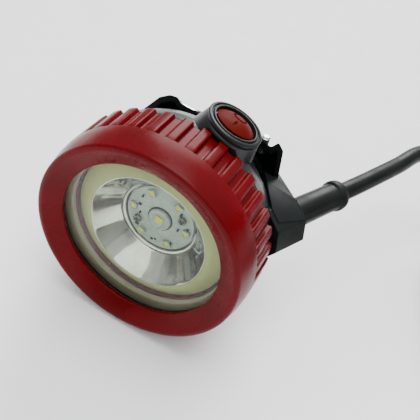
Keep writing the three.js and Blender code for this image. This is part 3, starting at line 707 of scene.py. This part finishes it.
BOARD_R = 13.4
BOARD_Y = 19.1
BOARD_TURN = Matrix.Rotation(math.radians(14), 4, "Y")
CHIPS = [                            # x, z, width and height on the board
    (-8.9, -0.2, 1.3, 0.7),
    (-7.3, -3.6, 0.7, 1.2),
    (-6.0, -9.3, 1.6, 0.8),
    (5.3, 8.1, 0.9, 1.5),
    (3.4, 8.9, 0.8, 1.4),
    (7.5, 1.2, 0.8, 1.2),
    (10.2, 4.5, 0.8, 0.8),
    (1.8, -10.9, 1.2, 0.6),
    (2.9, -9.9, 0.7, 0.7),
    (-3.4, -10.4, 1.5, 0.8),
    (-9.6, 3.9, 0.7, 1.2),
    (8.4, -6.6, 0.8, 0.8),
]


def make_board():
    plate = turned(eased([(0, BOARD_Y), (BOARD_R, BOARD_Y, 0.15), (BOARD_R, 20.7), (0, 20.7)]))
    show("light_board", plate, "white_board", nodes=["led_board"])
    for i, (x, z, width, height) in enumerate(CHIPS):
        low = (x - width / 2, BOARD_Y - 0.55, z - height / 2)
        high = (x + width / 2, BOARD_Y + 0.02, z + height / 2)
        show(f"chip_{i + 1}", block(low, high), "rubber", place=LAMP @ BOARD_TURN, bevel=0.08)
        wide = width > height
        for side in (-1, 1):
            shift = (side * width / 2, 0) if wide else (0, side * height / 2)
            middle = (x + shift[0], z + shift[1])
            size = (0.28, height * 0.45) if wide else (width * 0.45, 0.28)
            low = (middle[0] - size[0], BOARD_Y - 0.18, middle[1] - size[1])
            high = (middle[0] + size[0], BOARD_Y + 0.02, middle[1] + size[1])
            pad = block(low, high)
            show(f"solder_{i + 1}_{'ab'[side > 0]}", pad, "steel", place=LAMP @ BOARD_TURN, bevel=0.1)


def make_main_led():
    base = turned(eased([
        (0, 18.1), (3.2, 18.1, 0.1), (3.35, 17.95, 0.1), (4.0, 17.95, 0.15),
        (4.4, 18.3, 0.1), (4.4, 18.9), (0, 18.9),
    ]), even(72))
    show("led_base", base, "white_board", nodes=["main_led_base"])
    outline = turned(eased([(4.45, 18.75, 0.1), (4.95, 18.75, 0.1), (4.95, 19.12), (4.45, 19.12)]), even(72))
    show("led_outline", outline, "rubber")
    half = 1.55
    corners = [(x * half, y * half, 0.3) for x, y in ((-1, -1), (1, -1), (1, 1), (-1, 1))]
    die = slab(eased(corners), 17.75, 18.12)
    show("led_die", die, "led_resin", place=LAMP @ BOARD_TURN, bevel=0.06)
    crown = [(3.0 * math.cos(a), 17.9 - 3.0 * math.sin(a)) for a in [math.pi / 2 * k / 16 for k in range(17)]]
    show("led_lens", turned([*crown, (0, 17.9)], even(72)), "clear_lens", nodes=["main_led_dome"])


def make_aux_leds():
    for i in range(6):
        place = LAMP @ Matrix.Rotation(math.radians(31 + 60 * i), 4, "Y") @ Matrix.Translation((0, 0, 10.9))
        frame_outline = eased([(-1.4, -1.4, 0.2), (1.4, -1.4, 0.2), (1.4, 1.4, 0.2), (-1.4, 1.4, 0.2)])
        cup = cut(slab(frame_outline, 17.95, 18.85), disc(1.05, 17, 18.35, 32))
        show(f"small_led_{i + 1}", cup, "white_board", nodes=[f"aux_led_{i + 1}"], place=place, bevel=0.08)
        fill = turned(eased([(0, 18.08), (1.0, 18.16, 0.1), (1.0, 18.4), (0, 18.4)]), even(32))
        show(f"small_led_{i + 1}_fill", fill, "led_resin", place=place)


def screw(head, shank, start, neck, top, slots=(0,), depth=0.5, sunk=False):
    """A screw along +Y from start to top, with one driver slot or a cross."""
    if sunk:
        seat = [(shank, neck), (head, top, 0.1)]
    else:
        seat = [(shank, neck), (head, neck, 0.1), (head, top, (top - neck) * 0.8)]
    outline = eased([(0, start), (shank * 0.7, start, 0.1), (shank, start + 0.8), *seat, (0, top)])
    body = turned(outline, even(40))
    wide = head * 0.14 + 0.1
    for turn in slots:
        driver = block((-head * 0.75, top - depth, -wide), (head * 0.75, top + 1, wide))
        body = cut(body, moved(driver, Matrix.Rotation(math.radians(turn), 4, "Y")))
    return body


def make_board_screws():
    for i in range(2):
        place = LAMP @ Matrix.Translation(polar(9.5, 60 + 180 * i)) @ Matrix.Translation((0, 36.6, 0))
        place = place @ Matrix.Rotation(math.pi, 4, "Z")
        body = screw(1.6, 0.85, 12.6, 17.8, 18.8, (20, 110), 0.6)
        nodes = [f"board_screw_{i + 1}"]
        show(f"small_screw_{i + 1}", body, "steel", nodes=nodes, place=place, finish=DARK_STEEL)


make_reflector()
make_glow_ring()
make_board()
make_main_led()
make_aux_leds()
make_board_screws()

# ---------------------------------------------------------------- housing

NECK_R = 36.0
WALL = 2.6
SHOULDER_R = 32.2
SHOULDER_Y = 40.0
TAIL_R = 27.0
TAIL_END_Y = 50.5
COLLAR_R = 10.4


def make_housing():
    def threaded(degrees, radius, along):
        """A right-hand thread, as bezel_turn unscrews."""
        if not THREAD_START_Y < along < THREAD_END_Y or radius < NECK_R - 1:
            return radius, along
        turn = ((along - THREAD_PITCH * degrees / 360) / THREAD_PITCH) % 1
        root = smooth((abs(turn - 0.5) - 0.14) / 0.16)
        fade = smooth((along - THREAD_START_Y) / 0.8) * smooth((THREAD_END_Y - along) / 0.8)
        return radius - THREAD_DEPTH * (1 - root) * fade, along

    thread_rows = [(NECK_R, 14.8 + 0.2 * k) for k in range(35)]
    shell = turned(eased([
        (NECK_R - WALL, 14.0, 0.3),
        (NECK_R, 14.0, 0.4),
        *thread_rows,
        (NECK_R, 22.2, 0.1),
        (34.7, 22.2, 0.1),
        (34.7, 24.2, 0.1),
        (NECK_R, 24.2, 0.1),
        (NECK_R, 25.1),
        (38.1, 25.1, 0.2),
        (38.4, 26.0, 0.5),
        (37.5, 30.5, 5),
        (35.1, 36.0, 6),
        (SHOULDER_R, SHOULDER_Y, 0.7),
        (SHOULDER_R - 0.8, 41.2, 0.5),
        (TAIL_R + 0.6, 42.6, 0.5),
        (TAIL_R, TAIL_END_Y, 0.3),
        (TAIL_R - WALL, TAIL_END_Y, 0.3),
        (TAIL_R - WALL, 40.6),
        (31.2, 38.0),
        (NECK_R - WALL, 33),
    ]), form=threaded)
    to_lamp = LAMP.inverted() @ SWITCH @ Y_TO_Z
    cone = eased([(0, -16), (13.2, -16), (12.3, -8), (COLLAR_R + 0.1, -1.9, 0.3), (0, -1.9)])
    boss = moved(turned(cone, even(96)), to_lamp)
    inside = turned([(0, 10), (33.4, 10), (33.4, 33), (31.2, 38.0), (24.4, 40.6), (24.4, 60), (0, 60)])
    bezel_sweep = disc(41.1, 0, 25.1, 96)
    wide_bore = moved(turned([(0, -5), (8.7, -5), (8.7, 1), (0, 1)], even(72)), to_lamp)
    narrow_bore = moved(turned([(0, -30), (7.2, -30), (7.2, -4), (0, -4)], even(72)), to_lamp)
    body = cut(joined(shell, cut(boss, inside, bezel_sweep)), wide_bore, narrow_bore)
    show("lamp_housing", body, "black_shell", nodes=["housing"], sharp=28, finish=FINISH["housing_black"])


make_housing()

# ---------------------------------------------------------------- switch

ROCKER_R = 7.5
RING_MARK_Y = 1.7                    # behind the rocker's middle
RING_MARK_R = 2.3
STROKE_MARK_Y = -4.2
MARK_DEPTH = 0.6
MARK_WIDTH = 0.5
DOME_TOP = 1.55
DOME_DROP = 2.1                      # from the dome's top to its rim


def make_collar():
    ring = turned(eased([
        (7.8, -1.6), (COLLAR_R, -1.6, 0.1), (COLLAR_R, -0.15, 0.55), (9.35, 0.0, 0.15), (9.15, -0.6, 0.1),
        (8.75, -0.6, 0.1), (8.55, 0.1, 0.2), (7.8, 0.1, 0.25),
    ]), even(96))
    show("switch_rim", ring, "black_shell", nodes=["switch_collar"], place=SWITCH @ Y_TO_Z)


def make_rocker():
    """A domed button, with a mark for each of its two sides sunk in the dome."""
    rows = 66
    dome = []
    for k in range(rows + 1):
        share = 1 - k / rows
        dome.append(((ROCKER_R - 0.1) * share, DOME_TOP - DOME_DROP * share ** 2.6))

    def marked(degrees, radius, along):
        if along < DOME_TOP - DOME_DROP * 0.9:
            return radius, along
        angle = math.radians(degrees)
        x, y = radius * math.sin(angle), -radius * math.cos(angle)
        ring_gap = abs(math.hypot(x, y - RING_MARK_Y) - RING_MARK_R)
        stroke_gap = max(abs(x), abs(y - STROKE_MARK_Y) - 0.85)
        sunk = smooth((MARK_WIDTH - min(ring_gap, stroke_gap)) / (MARK_WIDTH * 0.6))
        return radius, along - MARK_DEPTH * sunk

    outline = [
        (0, -4.4), *eased([(4.4, -4.4, 0.3), (5.4, -3.6, 0.3), (ROCKER_R, ROCKER_PIVOT_Z, 0.3)]),
        *dome,
    ]
    button = turned(outline, even(240), marked)
    show("rocker_button", button, "rocker_red", "rocker", ["switch_rocker"], place=ROCKER @ Y_TO_Z)


make_collar()
make_rocker()

# ---------------------------------------------------------------- rear cover

COVER_FRONT_Y = 49.0
COVER_REAR_Y = 57.0
COVER_WALL = 1.5
COVER_BACK_WALL = 1.7
COVER_SHARE = (0.95, 0.74)           # the rear face against the front one
COVER_CORNERS = [
    (-30, -14, 4),
    (-30, 15, 6),
    (-23.4, 25.6, 2.5),
    (-19.6, 28.6, 1.6),
    (-16.6, 29.2, 0.9),
    (-14.6, 27.4, 0.9),
    (-3.8, 27.4, 3),
    (4, 27.2, 4),
    (19, 29.0, 1.5),
    (22.4, 28.6, 1.0),
    (24.4, 31.8, 0.7),
    (27.0, 29.4, 1.6),
    (29.3, 17, 5),
    (29.3, -16, 5),
    (22, -26, 5),
    (-22, -26, 5),
]
BOSS_R = 10.8
BOSS_LENGTH = 16
BOSS_TURN = 6                        # degrees, its top corner towards the outer side
BOSS_LIP_Y = -1.5                    # where the eight sides end and a round lip goes on
CABLE_BORE_R = 6.3
STUD_R = 1.7
STUD_PLACE = Matrix.Translation((18.8, 52.6, 0))


def offset(outline, distance):
    """An outline moved inwards all round by a distance."""
    area = sum(a[0] * b[1] - b[0] * a[1] for a, b in zip(outline, outline[1:] + outline[:1]))
    turn = 1 if area > 0 else -1
    points = []
    for i, here in enumerate(outline):
        before = (here - outline[i - 1]).normalized()
        after = (outline[(i + 1) % len(outline)] - here).normalized()
        inwards = Vector((-before.y - after.y, before.x + after.x)) * turn
        inwards.normalize()
        normal = Vector((-before.y, before.x)) * turn
        points.append(here + inwards * distance / max(inwards.dot(normal), 0.5))
    return points


def inset(corners, distance):
    """Rounded corners moved inwards, each with what is left of its radius."""
    sharp = offset([Vector(corner[:2]) for corner in corners], distance)
    return [(place.x, place.y, max(corner[2] - distance, 0.4)) for place, corner in zip(sharp, corners)]


def make_cover():
    outer = slab(eased(COVER_CORNERS, 3), COVER_FRONT_Y, COVER_REAR_Y, COVER_SHARE)
    room = eased(inset(COVER_CORNERS, COVER_WALL), 3)
    hollow = slab(room, COVER_FRONT_Y - 1, COVER_REAR_Y - COVER_BACK_WALL, COVER_SHARE)
    to_boss = LAMP.inverted() @ BOSS
    turns = [math.radians(BOSS_TURN + 45 * k) for k in range(8)]
    corners = [(BOSS_R * math.sin(a), BOSS_R * math.cos(a)) for a in turns]
    rounding = [0.6, 0.8, 0.8, 4, 4, 2, 0.8, 0.6]
    prism = slab(eased([(*c, r) for c, r in zip(corners, rounding)], 5), -BOSS_LENGTH, BOSS_LIP_Y)
    boss = moved(joined(prism, turned(eased([(0, -4), (9.3, -4), (9.3, 0, 0.9), (0, 0)]), even(72))), to_boss)
    top, upper = (Vector((x, 0, z)) for x, z in corners[:2])
    low = Vector((corners[4][0], 0, corners[4][1]))
    along = Vector((0, 1, 0))
    web = hull([
        Vector((28.9, 49.2, 17.8)), Vector((28.3, 54.5, 15.6)),
        Vector((28.9, 49.2, -6)), Vector((28.3, 54.5, -6)),
        Vector((23, 49.2, 18.4)), Vector((23, 42.5, -4)), Vector((26.5, 42.5, 19.5)),
        *[to_boss @ (place * 1.03 + along * y) for place, y in [
            (top.lerp(upper, 0.95), -2.2), (top.lerp(upper, 0.6), -14),
            (top, -2.2), (top, -14), (low, -2.2), (low, -14),
        ]],
    ])
    shell = cut(outer, hollow)
    ledge = turned([(24, 48.4), (28.3, 48.4), (28.0, 50.8), (27.2, 52.2), (25, 56), (24, 56)], even(96))
    neck = cut(joined(web, boss), slab(room, COVER_FRONT_Y - 1, COVER_REAR_Y - COVER_BACK_WALL, COVER_SHARE))
    keep_clear = turned([
        (0, 20), (38.7, 20), (37.9, 30), (35.4, 36), (32.5, 40.2), (31.8, 41.6),
        (28, 42.9), (27.3, 50.6), (0, 50.6),
    ], even(96))
    stud_hole = moved(disc(STUD_R + GAP, 21.7, 40, 40), STUD_PLACE @ Y_TO_Z)
    cable_bore = moved(disc(CABLE_BORE_R, -5, 30, 64), to_boss)
    rooms = [disc(24, 40, 55.3, 96), disc(26.8, 30, 51.9, 96), keep_clear, cable_bore, stud_hole]
    cover = cut(joined(shell, ledge, neck), *rooms)
    show(
        "back_cover", cover, "black_shell", nodes=["rear_cover"], bevel=0.5, corner=32, sharp=32,
        finish=FINISH["cover_black"],
    )


def make_stud():
    """The charging stud in the cover's top wall, with a stepped crown."""
    outline = eased([
        (0, 22.0), (STUD_R, 22.0, 0.2), (STUD_R, 28.9, 0.3), (1.35, 29.0, 0.1), (1.25, 29.5, 0.25), (0, 29.5),
    ])
    place = LAMP @ STUD_PLACE @ Y_TO_Z
    show("charging_stud", turned(outline, even(48)), "steel", nodes=["charge_contact"], place=place)


make_cover()
make_stud()

# ---------------------------------------------------------------- cap hook and fasteners

HOOK_WIDTH = 41
HOOK_TIP_WIDTH = 28
HOOK_THICK = 1.5
HOOK_SLOT = 5.0
HOOK_FRONT_Y = 57.3
HOOK_TOP_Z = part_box("cap_hook")[1].z / MM + FLOOR_Z
HOOK_LOW_Z = -13.5
HOOK_TIP_ROUND = 4.2                # radius of the blade's two lower corners
HOOK_SCREWS = [(-12, 10), (12, 10), (-12, -8), (12, -8)]
COVER_SCREWS = [(11.5, -18.5), (-11.5, -18.5)]


def make_hook():
    middle = HOOK_SLOT / 2 + HOOK_THICK / 2
    centre_y = HOOK_FRONT_Y + HOOK_THICK / 2 + middle
    turn_z = HOOK_TOP_Z - HOOK_SLOT / 2 - HOOK_THICK
    rise = [HOOK_LOW_Z, -12.9, -12.0, 0, 10, turn_z]
    line = [(centre_y - middle, z, -1, 0) for z in rise]
    for k in range(1, 16):
        a = math.pi * (1 - k / 16)
        y, z = math.cos(a), math.sin(a)
        line.append((centre_y + middle * y, turn_z + middle * z, y, z))
    tip = [FLOOR_Z + lift for lift in (HOOK_TIP_ROUND, 2.4, 1.1, 0.35, 0)]
    fall = [turn_z, 10, 0, HOOK_LOW_Z, -20, -27, -33, *tip]
    line += [(centre_y + middle, z, 1, 0) for z in fall]

    def half_width(z, blade):
        if not blade:
            return HOOK_WIDTH / 2 - 2.2 * (1 - smooth((z - HOOK_LOW_Z) / 1.6))
        taper = min(max((HOOK_LOW_Z - z) / (HOOK_LOW_Z - FLOOR_Z), 0), 1)
        width = HOOK_WIDTH / 2 + (HOOK_TIP_WIDTH - HOOK_WIDTH) / 2 * taper
        round_off = min(max((FLOOR_Z + HOOK_TIP_ROUND - z) / HOOK_TIP_ROUND, 0), 1)
        return width - HOOK_TIP_ROUND * (1 - math.sqrt(1 - round_off ** 2))

    rings = []
    for y, z, out_y, out_z in line:
        w = half_width(z, y > centre_y)
        near, far = -HOOK_THICK / 2, HOOK_THICK / 2
        corners = [(near, -w), (near, w), (far, w), (far, -w)]
        rings.append([(x, y + out_y * t, z + out_z * t) for t, x in corners])
    strip = loft(rings, closed=False)
    back = HOOK_FRONT_Y + HOOK_THICK
    sink = [(0, 50), (1.75, 50), (1.75, 57.4), (3.1, back), (3.1, back + 0.3), (0, back + 0.3)]
    sinks = [moved(turned(sink, even(40)), Matrix.Translation((x, 0, z))) for x, z in HOOK_SCREWS]
    show("spring_hook", cut(strip, *sinks), "steel", nodes=["cap_hook"], bevel=0.3, corner=40, sharp=32)


def make_fasteners():
    back = HOOK_FRONT_Y + HOOK_THICK
    for i, (x, z) in enumerate(COVER_SCREWS):
        body = screw(2.8, 1.5, 43.2, COVER_REAR_Y + 0.3, COVER_REAR_Y + 2, (25 + 40 * i,), 0.7)
        place = LAMP @ Matrix.Translation((x, 0, z))
        show(f"back_screw_{i + 1}", body, "steel", nodes=[f"cover_screw_{i + 1}"], place=place)
    for i, (x, z) in enumerate(HOOK_SCREWS):
        start = 43.2 if i < 2 else 52.5
        body = screw(2.85, 1.5, start, HOOK_FRONT_Y, back, (15 + 50 * i, 105 + 50 * i), 0.7, sunk=True)
        place = LAMP @ Matrix.Translation((x, 0, z))
        show(f"plate_screw_{i + 1}", body, "steel", nodes=[f"hook_screw_{i + 1}"], place=place)


make_hook()
make_fasteners()

# ---------------------------------------------------------------- seals and strain relief


def round_ring(radius, along, thickness):
    turns = [math.radians(a) for a in even(16)]
    return turned([(radius + thickness * math.cos(a), along + thickness * math.sin(a)) for a in turns])


def make_seals():
    show("neck_seal", round_ring(35.4, 23.2, 0.65), "rubber", nodes=["neck_oring"])
    flat = eased([(24.4, 50.8, 0.2), (26.6, 50.8, 0.2), (26.6, 51.6, 0.2), (24.4, 51.6, 0.2)])
    show("back_seal", turned(flat), "rubber", nodes=["cover_gasket"])


def make_sleeve():
    """A tapered sleeve: a root in the boss, a swelling at its end, and a socket for the cable."""
    end = SLEEVE_LENGTH
    outline = eased([
        (0, -4.4),
        (5.9, -4.4, 0.3),
        (5.9, 0.3, 0.3),
        (5.55, 0.9, 0.4),
        (5.5, 10.0, 4),
        (5.4, end - 4.5, 0.3),
        (6.15, end - 3.7, 0.6),
        (6.25, end - 2.4, 0.8),
        (5.9, end - 0.4, 1.0),
        (5.0, end, 0.4),
        (CABLE_D / 2 + 0.25, end, 0.2),
        (CABLE_D / 2 + 0.12, end - 2.9),
        (0, end - 2.9),
    ])
    show("cable_sleeve", turned(outline, even(72)), "cable_rubber", nodes=["strain_relief"], place=BOSS)


make_seals()
make_sleeve()

# ---------------------------------------------------------------- connector and coil tie

TIE_WIDTH = 12
TIE_THICK = 0.9
TIE_EDGE_PINCH = 0.25                # of its thickness, off either face at its edges


def make_connector():
    x = COIL_CENTRE.x + COIL_MID_R + CABLE_D / 2
    along = Matrix.Translation((x, CONNECTOR_START_Y, FLOOR_Z + CONNECTOR_R))
    place = LAMP @ along @ Matrix.Rotation(math.pi, 4, "Z")
    flutes = 18

    def fluted(degrees, radius, distance):
        if not 15 < distance < 31 or radius < CONNECTOR_R - 0.5:
            return radius, distance
        groove = smooth((math.cos(math.radians(degrees * flutes)) - 0.2) / 0.6)
        fade = smooth((distance - 15) / 1.5) * smooth((31 - distance) / 1.5)
        return radius - 0.6 * groove * fade, distance

    grip = [(CONNECTOR_R, 15.2 + 0.8 * k) for k in range(20)]
    shell = turned(eased([
        (0, 2.9),
        (CABLE_D / 2 + 0.12, 2.9),
        (CABLE_D / 2 + 0.25, 0, 0.2),
        (4.9, 0, 0.5),
        (6.2, 12, 1.5),
        (CONNECTOR_R, 14, 0.8),
        *grip,
        (CONNECTOR_R, CONNECTOR_LENGTH, 0.7),
        (6.6, CONNECTOR_LENGTH, 0.4),
        (6.6, CONNECTOR_LENGTH - 9),
        (0, CONNECTOR_LENGTH - 9),
    ]), form=fluted)
    sockets = [disc(1.5, CONNECTOR_LENGTH - 14, CONNECTOR_LENGTH - 6, 32, (side * 3, 0)) for side in (-1, 1)]
    shape = cut(shell, *sockets)
    body = show("lead_connector", shape, "cable_rubber", nodes=["connector_body"], place=place, sharp=35)
    pins = []
    for i, side in enumerate((-1, 1)):
        pin = turned(eased([
            (0, 26.5), (1.2, 26.5), (1.2, CONNECTOR_LENGTH - 2.4, 0.7), (0.55, CONNECTOR_LENGTH - 1.5, 0.4),
            (0, CONNECTOR_LENGTH - 1.5),
        ]), even(32))
        spot = place @ Matrix.Translation((side * 3, 0, 0))
        pins.append(show(f"lead_pin_{i + 1}", pin, "brass", nodes=[f"connector_pin_{i + 1}"], place=spot))
    return [body, *pins]


def make_tie():
    """A woven strap round the coil's section."""
    half = CABLE_D + GAP + TIE_THICK / 2
    low = FLOOR_Z + COIL_LIFT - GAP - TIE_THICK / 2
    high = FLOOR_Z + COIL_LIFT + CABLE_D * (COIL_LAYER_TURNS + 1) + GAP + TIE_THICK / 2
    centre = -COIL_MID_R
    loop = eased([
        (centre - half, low, 3.4), (centre + half + 0.6, low, 3.4),
        (centre + half + 0.6, high, 3.4), (centre - half, high, 3.4),
    ], 8)
    steps = [-TIE_WIDTH / 2, -TIE_WIDTH / 2 + 0.3, 0, TIE_WIDTH / 2 - 0.3, TIE_WIDTH / 2]
    outer, inner = offset(loop, -TIE_THICK / 2), offset(loop, TIE_THICK / 2)
    rings = []
    for o, i in zip(outer, inner):
        pinch = (o - i) * TIE_EDGE_PINCH
        across = [(x, o - pinch if abs(x) == TIE_WIDTH / 2 else o) for x in steps]
        back = [(x, i + pinch if abs(x) == TIE_WIDTH / 2 else i) for x in reversed(steps)]
        rings.append([(x, p.x, p.y) for x, p in across + back])
    strap = loft(rings)
    place = LAMP @ Matrix.Translation(COIL_CENTRE)
    return show("coil_strap", strap, "rubber", nodes=["coil_tie"], place=place, finish=WOVEN_STRAP)


on_the_cable = [*make_connector(), make_tie()]

# ---------------------------------------------------------------- CAD nodes that stay

KEPT = {
    "heat_sink": "aluminium",
    "driver_board": "green_board",
    "switch_body": "black_shell",
    "rocker_pin": "steel",
    "rocker_plunger": "brass",
    "contact_seesaw": "brass",
    "switch_terminal_1": "brass",
    "switch_terminal_2": "brass",
    "core_wire_1": "wire_red",
    "core_wire_2": "wire_black",
}


def finish_kept_nodes():
    for name, slot in KEPT.items():
        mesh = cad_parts[name].data
        mesh.materials.clear()
        mesh.materials.append(FINISH[slot])
        mesh.shade_smooth()
        mesh.set_sharp_from_angle(angle=math.radians(30))


finish_kept_nodes()

# ---------------------------------------------------------------- floor and light


def make_floor():
    shape = bmesh.new()
    reach = 6
    corners = [(-reach, -reach), (reach, -reach), (reach, reach), (-reach, reach)]
    shape.faces.new([shape.verts.new((x, y, 0)) for x, y in corners])
    mesh = bpy.data.meshes.new("floor")
    shape.to_mesh(mesh)
    shape.free()
    mesh.materials.append(painted_floor())
    floor = bpy.data.objects.new("floor", mesh)
    bpy.context.scene.collection.objects.link(floor)


def far_light(name, azimuth, elevation, power, spread_angle, shade=(1, 1, 1)):
    """A broad light far away: azimuth 0 stands behind the viewer of the lamp's front."""
    data = bpy.data.lights.new(name, "SUN")
    data.energy = power
    data.angle = math.radians(spread_angle)
    data.color = shade
    light = bpy.data.objects.new(name, data)
    bpy.context.scene.collection.objects.link(light)
    turn, rise = math.radians(azimuth), math.radians(elevation)
    towards = Vector((math.sin(turn) * math.cos(rise), -math.cos(turn) * math.cos(rise), math.sin(rise)))
    light.rotation_mode = "QUATERNION"
    light.rotation_quaternion = towards.to_track_quat("Z", "Y")


def make_sky():
    """A soft dome: pale overhead, dim towards the horizon."""
    world = bpy.data.worlds.new("studio")
    world.use_nodes = True
    tree = world.node_tree
    tree.nodes.clear()
    place = add(tree, "TexCoord").outputs["Generated"]
    height = add(tree, "SeparateXYZ", {0: place}).outputs["Z"]
    panels = add(tree, "TexNoise", {"Vector": place, "Scale": 3.2, "Detail": 1.0}).outputs["Fac"]
    low = mixed(tree, spread(tree, panels, 0.46, 0.54), (0.03, 0.032, 0.03, 1), (0.34, 0.35, 0.33, 1))
    shade = mixed(tree, spread(tree, height, 0.15, 0.8), low, (0.95, 0.97, 1.0, 1))
    sky = add(tree, "Background", {"Color": shade, "Strength": 1.0})
    output = add(tree, "OutputWorld")
    tree.links.new(sky.outputs[0], output.inputs["Surface"])
    bpy.context.scene.world = world


make_floor()
make_sky()
far_light("overhead", 180, 86, 2.6, 40)
far_light("back", 193, 34, 3.2, 36)
far_light("front", 5, 58, 0.8, 50)
